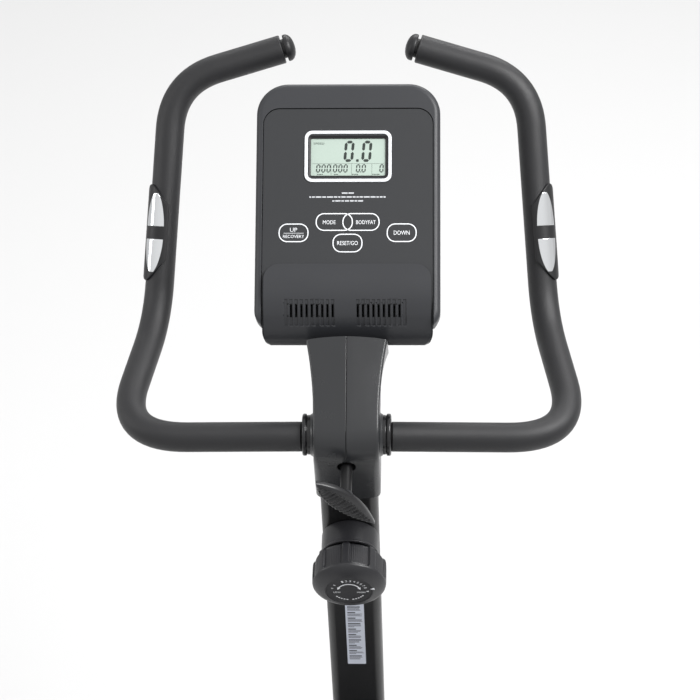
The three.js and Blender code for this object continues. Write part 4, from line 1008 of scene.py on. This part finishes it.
for y, end in FEET:
    cap = sideways(slab(rounded(78, 76, 16, 8, y, 38), 186, 246, 9, 2.5, 6))
    for sign, name in SIDES:
        o = piece(f"foot_{end}_{name}", on_side(sign, cap), RUBBER, BIKE, "frame", f"{end}_cap_{name}",
                  "rubber", 40)
        cuts = [bar(25.3, sign * 180, sign * 206.4, y, 40.5, 64)]
        cuts += [box(sign * 184, sign * 243, y - 34 + 9 * k, y - 31 + 9 * k, -3, 1.6) for k in range(8)]
        if end == "front":
            ears = sideways(slab(rounded(56, 30, 14, 8, y + 38, AXLE_Z), 199, 233, 2, 2, 4))
            e = piece("wheel_fork_" + name, on_side(sign, ears), RUBBER, BIKE, "frame", (), "rubber", 40)
            room = bar(27, sign * 205.5, sign * 226.5, AXLE_Y, AXLE_Z, 48)
            carve(e, [room], BIKE)
            dress(e, RUBBER, 40)
            cuts.append(room)
            pin_shape = bar(3.2, sign * 198, sign * 234.5, AXLE_Y, AXLE_Z, 24)
            piece("wheel_pin_" + name, pin_shape, STEEL, BIKE, "frame", (), "raw_steel", 40)
        carve(o, cuts, BIKE)
        dress(o, RUBBER, 40)

roller = turned([(3.9, -9), (8, -9), (8, -7.4), (19, -7.4), (19.6, -8.6), (21.4, -9), (23.6, -8.2),
                 (24.7, -6.4), (25, -4), (25, -1), (24.4, 0), (25, 1), (25, 4), (24.7, 6.4), (23.6, 8.2),
                 (21.4, 9), (19.6, 8.6), (19, 7.4), (8, 7.4), (8, 9), (3.9, 9)], 64, ring=True)
for sign, name in SIDES:
    piece("roller_" + name, moved(roller, shift(sign * 216, AXLE_Y, AXLE_Z) @ QUARTER_Y), RUBBER, BIKE,
          "roller_" + name[0], "transport_wheel_" + name, "rubber", 40)


# ---- drive --------------------------------------------------------------------------------------------
def arm():
    """A crank arm: a strap round both of its holes."""
    outline = [polar(18.8, a) for a in range(84, 277, 6)]
    outline += [(CRANK_LENGTH + x, y) for x, y in (polar(12.4, a) for a in range(-86, 87, 6))]
    return sideways(slab(outline, 72, 85, 3, 3, 5))


washer = turned([(0, 70.8), (7.4, 70.8), (8, 71.4), (8, 72.4), (0, 72.4)], 6)
for sign, name in SIDES:
    half_turn = Matrix.Rotation(0 if sign > 0 else math.pi, 4, "X")
    spot = shift(*CRANK_AXIS) @ half_turn @ turned_by(CRANK_ANGLE, "X")

    def on_crank(shape):
        return moved(on_side(sign, shape), spot)

    o = piece("crank_" + name, on_crank(arm()), PAINT, BIKE, "crank", "crank_arm_" + name, "steel_paint", 40)
    groove = sideways(slab(rounded(88, 9, 4.4, 6, 84, 0), 83.2, 90, 0.1))
    carve(o, [on_crank(groove), on_crank(bar(9.8, 60, 100))], BIKE)
    dress(o, PAINT, 40, 0.5)
    nut = sideways(turned([(0, 78), (9.4, 78), (9.4, 84), (8.6, 84.8), (6.4, 85.6), (0, 86)], 40))
    piece("crank_nut_" + name, on_crank(nut), BLACK, BIKE, "crank", (), "dark", 40)
    pin_bits = merge(bar(5.5, 84, 190, CRANK_LENGTH, 0, 32),
                     sideways(moved(washer, shift(CRANK_LENGTH, 0, 0))))
    piece("pedal_pin_" + name, on_crank(pin_bits), STEEL, BIKE, "crank", (), "raw_steel", 30)


def pedal():
    """The pedal's body: its outline from the end, carried across its width."""
    outline = [(-47, -4), (-45.5, 4), (-41, 10), (41, 10), (45.5, 4), (47, -4), (43, -11), (30, -28),
               (-30, -28), (-43, -11)]
    fine = curve([(y, z) for y, z in outline[::-1]], 3, True)
    return sideways(slab(fine, 92, 196, 3, 3, 4))


def strap():
    """The strap over the foot, an arch from one side of the pedal to the other."""
    a, b, h = 87.6, 200.4, 78

    def arch(lo, hi, top, base):
        left = [(lo, -8), (lo, 8), (lo, base)]
        corners = [Vector(p) for p in ((lo, base), (lo + 2, top), (hi - 2, top), (hi, base))]
        left += [tuple(cubic(*corners, k / 16)) for k in range(1, 17)]
        return left + [(hi, 8), (hi, -8)]

    outer_line, inner_line = arch(a, b, h, 32), arch(a + 4, b - 4, h - 8, 30)
    loops = []
    for (x0, z0), (x1, z1) in zip(outer_line, inner_line):
        row = []
        for y, c in ((-21, 0.25), (-20.2, 0), (-9, -0.3), (0, 0), (9, -0.3), (20.2, 0), (21, 0.25),
                     (21, 0.75), (20.2, 1), (0, 1), (-20.2, 1), (-21, 0.75)):
            row.append((x0 + (x1 - x0) * c, y, z0 + (z1 - z0) * c))
        loops.append(row)
    return loft(loops)


for sign, name in SIDES:
    dy, dz = polar(CRANK_LENGTH, CRANK_ANGLE)
    spot = shift(0, -20 + sign * dy, 300 + sign * dz)
    body = "pedal_" + name[0]

    def on_pedal(s):
        return moved(on_side(sign, s), spot)

    o = piece("tread_" + name, on_pedal(pedal()), BLACK, BIKE, body, "pedal_" + name, "pedal", 30)
    ribs = [box(100 + 8.2 * k, 103.4 + 8.2 * k, -33, 33, 7.6, 20) for k in range(12)]
    carve(o, [on_pedal(c) for c in (bar(6, 80, 192, 0, 0, 32), *ribs)], BIKE)
    dress(o, BLACK, 30, 0.5)
    s = piece("foot_strap_" + name, on_pedal(strap()), GLOVE, BIKE, body, "pedal_strap_" + name, "rubber", 40)
    holes = [bar(2.2, 197, 203, 0, 2 + 8 * k, 20) for k in range(4)] + [bar(6.6, 82, 96, 0, 0, 32)]
    carve(s, [on_pedal(c) for c in holes], BIKE)
    dress(s, GLOVE, 40, 0.4)
    stud = turned([(0, 3), (4.6, 3), (4.6, 4.2), (3.4, 5.4), (0, 5.8)], 28)
    stud = moved(stud, shift(196, 0, -3) @ QUARTER_Y)
    piece("strap_stud_" + name, on_pedal(stud), BLACK, BIKE, body, (), "dark", 40)


# ---- shroud -------------------------------------------------------------------------------------------
SHROUD = [(-100, 130), (-148, 285), (-174, 356), (-154, 398), (-104, 422), (-30, 431), (40, 437), (94, 462),
          (126, 506), (198, 506), (232, 430), (292, 270), (346, 130)]


def corner_cut(points, reach, steps=5):
    """Rounds each corner of a closed outline with a short Bezier."""
    out = []
    for i, p in enumerate(points):
        p = Vector(p)
        a, b = Vector(points[i - 1]) - p, Vector(points[(i + 1) % len(points)]) - p
        ra, rb = min(reach, a.length * 0.45), min(reach, b.length * 0.45)
        a, b = p + a.normalized() * ra, p + b.normalized() * rb
        out += [quadratic(a, p, b, k / steps) for k in range(steps + 1)]
    return [(p.x, p.y) for p in out]


def shroud_half():
    """The right half of the drive cover, a shell that is open at the middle."""
    line = corner_cut(SHROUD, 34)
    if sum(line[i - 1][0] * line[i][1] - line[i][0] * line[i - 1][1] for i in range(len(line))) < 0:
        line = line[::-1]
    rows = [(0.2, 0)]
    rows += [(48 + 14 * math.sin(t), 14 * (1 - math.cos(t))) for t in (math.pi / 2 * j / 8 for j in range(9))]
    rows += [(58.8, 16), (56, 8), (48, 4.2), (0.2, 3.2)]
    points, faces = loft([[(x, y, z) for y, z in inset(line, d)] for x, d in rows], caps=False)
    n = len(line)
    faces.append(tuple(range(9 * n, 10 * n)))
    faces.append(tuple(range(10 * n, 11 * n))[::-1])
    faces = [f for f in faces if not (max(f) < 11 * n and min(f) >= 9 * n and len(f) == 4)]
    faces += [(j, (j + 1) % n, 13 * n + (j + 1) % n, 13 * n + j) for j in range(n)]
    return points, faces


crank_ring = turned([(15.4, 61.6), (34, 61.6), (34, 62.6), (32.4, 64), (19, 64.6), (16.6, 63.8),
                     (15.4, 62.8)], 72, ring=True)
crank_ring = sideways(moved(crank_ring, shift(-20, 300, 0)))
screw = turned([(0, 61.5), (4.4, 61.5), (4.4, 62.6), (3.4, 63.6), (0, 63.9)], 28)
screws = merge(*[sideways(moved(screw, shift(y, z, 0)))
                 for y, z in ((-134, 340), (20, 412), (210, 452), (300, 172), (-84, 172))])
slots = [sideways(slab(rounded(5, 62 - abs(k - 3) * 8, 2.4, 5, 196 + 13 * k, 330 - 13 * k), 55, 70, 0.1))
         for k in range(6)]
for sign, name in SIDES:
    o = piece("cover_" + name, on_side(sign, shroud_half()), DECK, BIKE, "frame", "shroud_" + name, "shell",
              30)
    carve(o, [up_post(rounded(65, 43, 11), 540, 690)], POST)
    carve(o, [bar(15, sign * 40, sign * 90, -20, 300, 64), box(-46, 46, -86, 330, 100, 170)], BIKE)
    carve(o, [on_side(sign, c) for c in slots], BIKE)
    dress(o, DECK, 32, 0.5)
    piece("crank_ring_" + name, on_side(sign, crank_ring), BLACK, BIKE, "frame", (), "dark", 40)
    piece("cover_screws_" + name, on_side(sign, screws), STEEL, BIKE, "frame", (), "raw_steel", 40)


# ---- seat ---------------------------------------------------------------------------------------------
collar_out, collar_in = rounded(76, 46, 16.5, 12), rounded(57.8, 27.8, 10, 12)
throat = rounded(59.2, 29.2, 10.5, 12)
sleeve = loft([[(x, y, z) for x, y in o] for o, z in ((collar_in, 450), (throat, 450), (throat, 520.4),
              (inset(collar_out, 1), 520.4), (collar_out, 521.4), (collar_out, 537),
              (inset(collar_out, 1.6), 540.4), (inset(collar_out, 4), 542), (inset(collar_in, -1), 542),
              (collar_in, 541))], ring=True)
o = piece("sleeve_collar", sleeve, BLACK, SEAT, "frame", "seat_sleeve", "dark", 40)
carve(o, [pin_hole], SEAT)
dress(o, BLACK, 40)
post_out, post_in = rounded(57, 27, 9.7, 12), rounded(52, 22, 7.9, 12)
seat_post = loft([[(x, y, z) for x, y in o] for o, z in ((post_out, 330.6), (post_out, 716), (post_in, 716),
                                                         (post_in, 330))], ring=True)
o = piece("seat_tube_inner", seat_post, STEEL, SEAT, "seat", "seat_post", "raw_steel", 50)
carve(o, [to_pin(rod(5, 5, 40, 0, 0, 32), 25 * k) for k in range(-5, 8)], SEAT)
dress(o, STEEL, 50)
numbers = [moved(words(str(k + 3), 5, 6.5, 0, 0, 0), shift(0, -13.52, 571 + 25 * k) @ QUARTER_X)
           for k in range(5)]
piece("height_marks", merge(*numbers), INK, SEAT, "seat", (), "dark", flat=True)
top_plate = moved(box(-30, 30, -45, 45, 0, 8), shift(0, 0, 712) @ turned_by(-SEAT_LEAN, "X"))
piece("saddle_plate", top_plate, PAINT, SEAT, "seat", (), "steel_paint", 30, 1.4)
pull = [(0, 14.4), (4.9, 14.4), (4.9, 31), (11.4, 31.4), (12, 32.2), (12, 38.6), (14, 39.6), (20.4, 41.8),
        (21.8, 43.6), (22, 46), (22, 57), (21.2, 60.6), (18.6, 64), (14.4, 66), (8, 66.8), (0, 67)]


def ribbed(profile, sides, ribs, depth, z0, z1):
    """A turned piece with finger grooves between two heights."""
    loops = []
    for r, z in profile:
        row = []
        for k in range(sides):
            a = TAU * k / sides
            cut_in = depth * max(0, math.cos(ribs * a)) ** 2 if z0 <= z <= z1 else 0
            rr = max(r - cut_in, 0.01)
            row.append((rr * math.cos(a), rr * math.sin(a), z))
        loops.append(row)
    return loft(loops)


pull_knob = to_pin(ribbed(pull, 192, 12, 1.5, 43, 62))
piece("pull_knob", pull_knob, BLACK, SEAT, "pull_pin", "seat_pin", "dark", 40)


def saddle_line(grow, steps=14):
    """The saddle's outline from above, anticlockwise."""
    w = 124 + grow
    quads = [((0, 130 + grow), (30 + grow, 130 + grow), (42 + grow, 110), (50 + grow, 62)),
             ((50 + grow, 62), (60 + grow, 10), (w, -10), (w, -62)),
             ((w, -62), (w, -118 - grow), (80, -132 - grow), (0, -124 - grow))]
    right = []
    for corners in quads:
        right += [cubic(*(Vector(q) for q in corners), k / steps) for k in range(steps)]
    right.append(Vector((0, -124 - grow)))
    left = [Vector((-p.x, p.y)) for p in right[1:-1]]
    return [(p.x, p.y) for p in (right + left[::-1])[::-1]]


pan = saddle_line(-6)
shell_shape = loft([[(x, y, z) for x, y in o] for o, z in ((inset(pan, 9), 4), (inset(pan, 3), 6), (pan, 11),
                                                           (pan, 22.6), (inset(pan, 1.2), 24))])
o = piece("saddle_pan", shell_shape, BLACK, SADDLE, "seat", "saddle_shell", "dark", 40)
carve(o, [top_plate], SEAT)
dress(o, BLACK, 40, 0.4)


def crown(x, y):
    """Height of the saddle's top above its base line."""
    nose = max(0, min(1, (y + 20) / 140))
    groove = 6 * math.exp(-(x / 13) ** 2) * max(0, min(1, (60 - y) / 60)) * max(0, min(1, (y + 150) / 50))
    wings = 7 * math.exp(-((abs(x) - 62) / 34) ** 2) * max(0, min(1, (20 - y) / 60))
    back = 8 * max(0, (-y - 60) / 64) ** 2
    return 50 - 8 * nose ** 2 + wings + back - groove


def pad_shape():
    """The cushion, its bottom flat on the pan and its top crowned, with a rolled edge."""
    base = saddle_line(-8, 18)
    loops = [[(x * 0.5, y * 0.5, 24.6) for x, y in base], [(x * 0.9, y * 0.9, 24.6) for x, y in base],
             [(x, y, 26) for x, y in base], [(x, y, 32) for x, y in inset(base, -3)],
             [(x, y, 42) for x, y in inset(base, -5)]]
    for k in range(1, 8):
        t = k / 7
        ring = inset(base, -5 + 22 * t ** 1.6)
        loops.append([(x, y, 42 + (24 + crown(x, y) - 46) * math.sin(math.pi / 2 * t) ** 0.9)
                      for x, y in ring])
    edge = loops[-1]
    for s in (0.8, 0.6, 0.4, 0.2, 0.02):
        inner = [(x * s, y * s - 10 * (1 - s)) for x, y, z in edge]
        loops.append([(x, y, 20 + crown(x, y)) for x, y in inner])
    return loft(loops)


pad = piece("saddle_cushion", pad_shape(), VINYL, SADDLE, "seat", "saddle_pad", "leather", 70)
pad.modifiers.clear()
MOST_SWELL = 0.005                 # metres that the cloth may move a point
m = pad.modifiers.new("voxels", "REMESH")
m.mode, m.voxel_size = "VOXEL", 0.005
bake(pad)
rest_points = [v.co.copy() for v in pad.data.vertices]
held = pad.vertex_groups.new(name="held")
base_z = min(p.z for p in rest_points)
held.add([i for i, p in enumerate(rest_points) if p.z < base_z + 0.010], 1.0, "REPLACE")
m = pad.modifiers.new("stuffing", "CLOTH")
m.settings.quality = 6
m.settings.mass = 0.3
m.settings.tension_stiffness = m.settings.compression_stiffness = 18
m.settings.bending_stiffness = 2
m.settings.use_pressure = True
m.settings.uniform_pressure_force = 4
m.settings.effector_weights.gravity = 0
m.settings.vertex_group_mass = "held"
m.point_cache.frame_start, m.point_cache.frame_end = 1, 20
for step in range(1, 21):
    bpy.context.scene.frame_set(step)
puffed = applied(pad)
pad.modifiers.clear()
for v, p in zip(puffed.vertices, rest_points):
    move = v.co - p
    if move.length > MOST_SWELL:
        v.co = p + move.normalized() * MOST_SWELL
pad.data = puffed
bpy.context.scene.frame_set(1)
dress(pad, VINYL, 180)
m = pad.modifiers.new("smooth", "SUBSURF")
m.levels = m.render_levels = 1


def seam(offset, lift):
    """A line round the cushion."""
    return [(x, y, lift) for x, y in saddle_line(offset, 14)]


piping = sweep(seam(-1.5, 36), circle(1.7, 12), closed=True)
piece("saddle_piping", piping, VINYL, SADDLE, "seat", (), "leather", 60)
stitches = []
line = curve(seam(0.2, 41), 3, True)
for i in range(0, len(line) - 2, 3):
    stitches.append(sweep([line[i], line[i + 1], line[i + 2]], circle(0.55, 6)))
piece("saddle_stitches", merge(*stitches), INK, SADDLE, "seat", (), "leather", 60)


# ---- CAD pieces that stay -----------------------------------------------------------------------------
KEPT = {"crank_axle": STEEL, "drive_pulley": BLACK, "flywheel": IRON, "flywheel_axle": STEEL,
        "drive_belt": RUBBER, "brake_magnet_arm": IRON, "handlebar_tube": PAINT,
        "handlebar_clamp": PAINT, "tension_cable": RUBBER, "circuit_board": BOARD}
for name, finish in KEPT.items():
    dress(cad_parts[name], finish, 32)


# ---- stage --------------------------------------------------------------------------------------------
FLOOR = material("floor", (214, 214, 214), 0.85, vary=0.004, specular=0.1)
FAR = 60000
piece("floor", box(-FAR, FAR, -FAR, FAR, -4, 0), FLOOR, place(0, 0), None, flat=True)
world = bpy.data.worlds.new("studio")
bpy.context.scene.world = world
world.use_nodes = True
bpy.context.scene.view_settings.view_transform = "Standard"


def studio():
    """A sky that is dimmer near the horizon than overhead."""
    nodes, links = world.node_tree.nodes, world.node_tree.links
    sky = nodes["Background"]
    where, parts = nodes.new("ShaderNodeTexCoord"), nodes.new("ShaderNodeSeparateXYZ")
    shade = nodes.new("ShaderNodeMapRange")
    shade.inputs["From Min"].default_value, shade.inputs["From Max"].default_value = 0.25, 0.95
    shade.inputs["To Min"].default_value, shade.inputs["To Max"].default_value = 0.72, 1.0
    links.new(where.outputs["Generated"], parts.inputs["Vector"])
    links.new(parts.outputs["Z"], shade.inputs["Value"])
    links.new(shade.outputs["Result"], sky.inputs["Strength"])
    sky.inputs["Color"].default_value = (1, 1, 1, 1)


def lamp(name, spot, target, w, h, power):
    """A rectangular lamp that faces a point."""
    light = bpy.data.lights.new(name, "AREA")
    light.shape, light.size, light.size_y, light.energy = "RECTANGLE", w, h, power
    o = linked(name, light)
    o.location = spot
    o.rotation_euler = (Vector(target) - Vector(spot)).to_track_quat("-Z", "Y").to_euler()


studio()
centre = (0, CY / 1000, CZ / 1000)
lamp("key", (1.6, -0.2, 3.2), centre, 1.1, 1.1, 76)
lamp("fill_left", (-2.6, 0.0, 2.0), centre, 0.5, 2.0, 12)
lamp("rim", (0.5, 2.8, 2.8), centre, 2.4, 0.6, 36)

# The camera looks down at the head from behind the saddle, 40 degrees below level.
DISTANCE, DOWN, LEVEL = 2600, 0.6428, 0.7660
azimuth = math.atan(86 / DISTANCE)
up = Vector((0, DOWN, LEVEL))
ahead = Vector((-math.sin(azimuth), LEVEL * math.cos(azimuth), -DOWN * math.cos(azimuth)))
right = Vector((math.cos(azimuth), LEVEL * math.sin(azimuth), -DOWN * math.sin(azimuth)))
lens = bpy.data.cameras.new("camera")
lens.lens, lens.sensor_width = 2470 / 700 * 36, 36
camera = linked("camera", lens)
spot = (Vector((0, CY, CZ)) + right * 3.263 + up * 91.16 - ahead * DISTANCE) / 1000
turn_to = Matrix((right, (-ahead).cross(right), -ahead)).transposed()
camera.matrix_world = Matrix.Translation(spot) @ turn_to.to_4x4()
bpy.context.scene.camera = camera
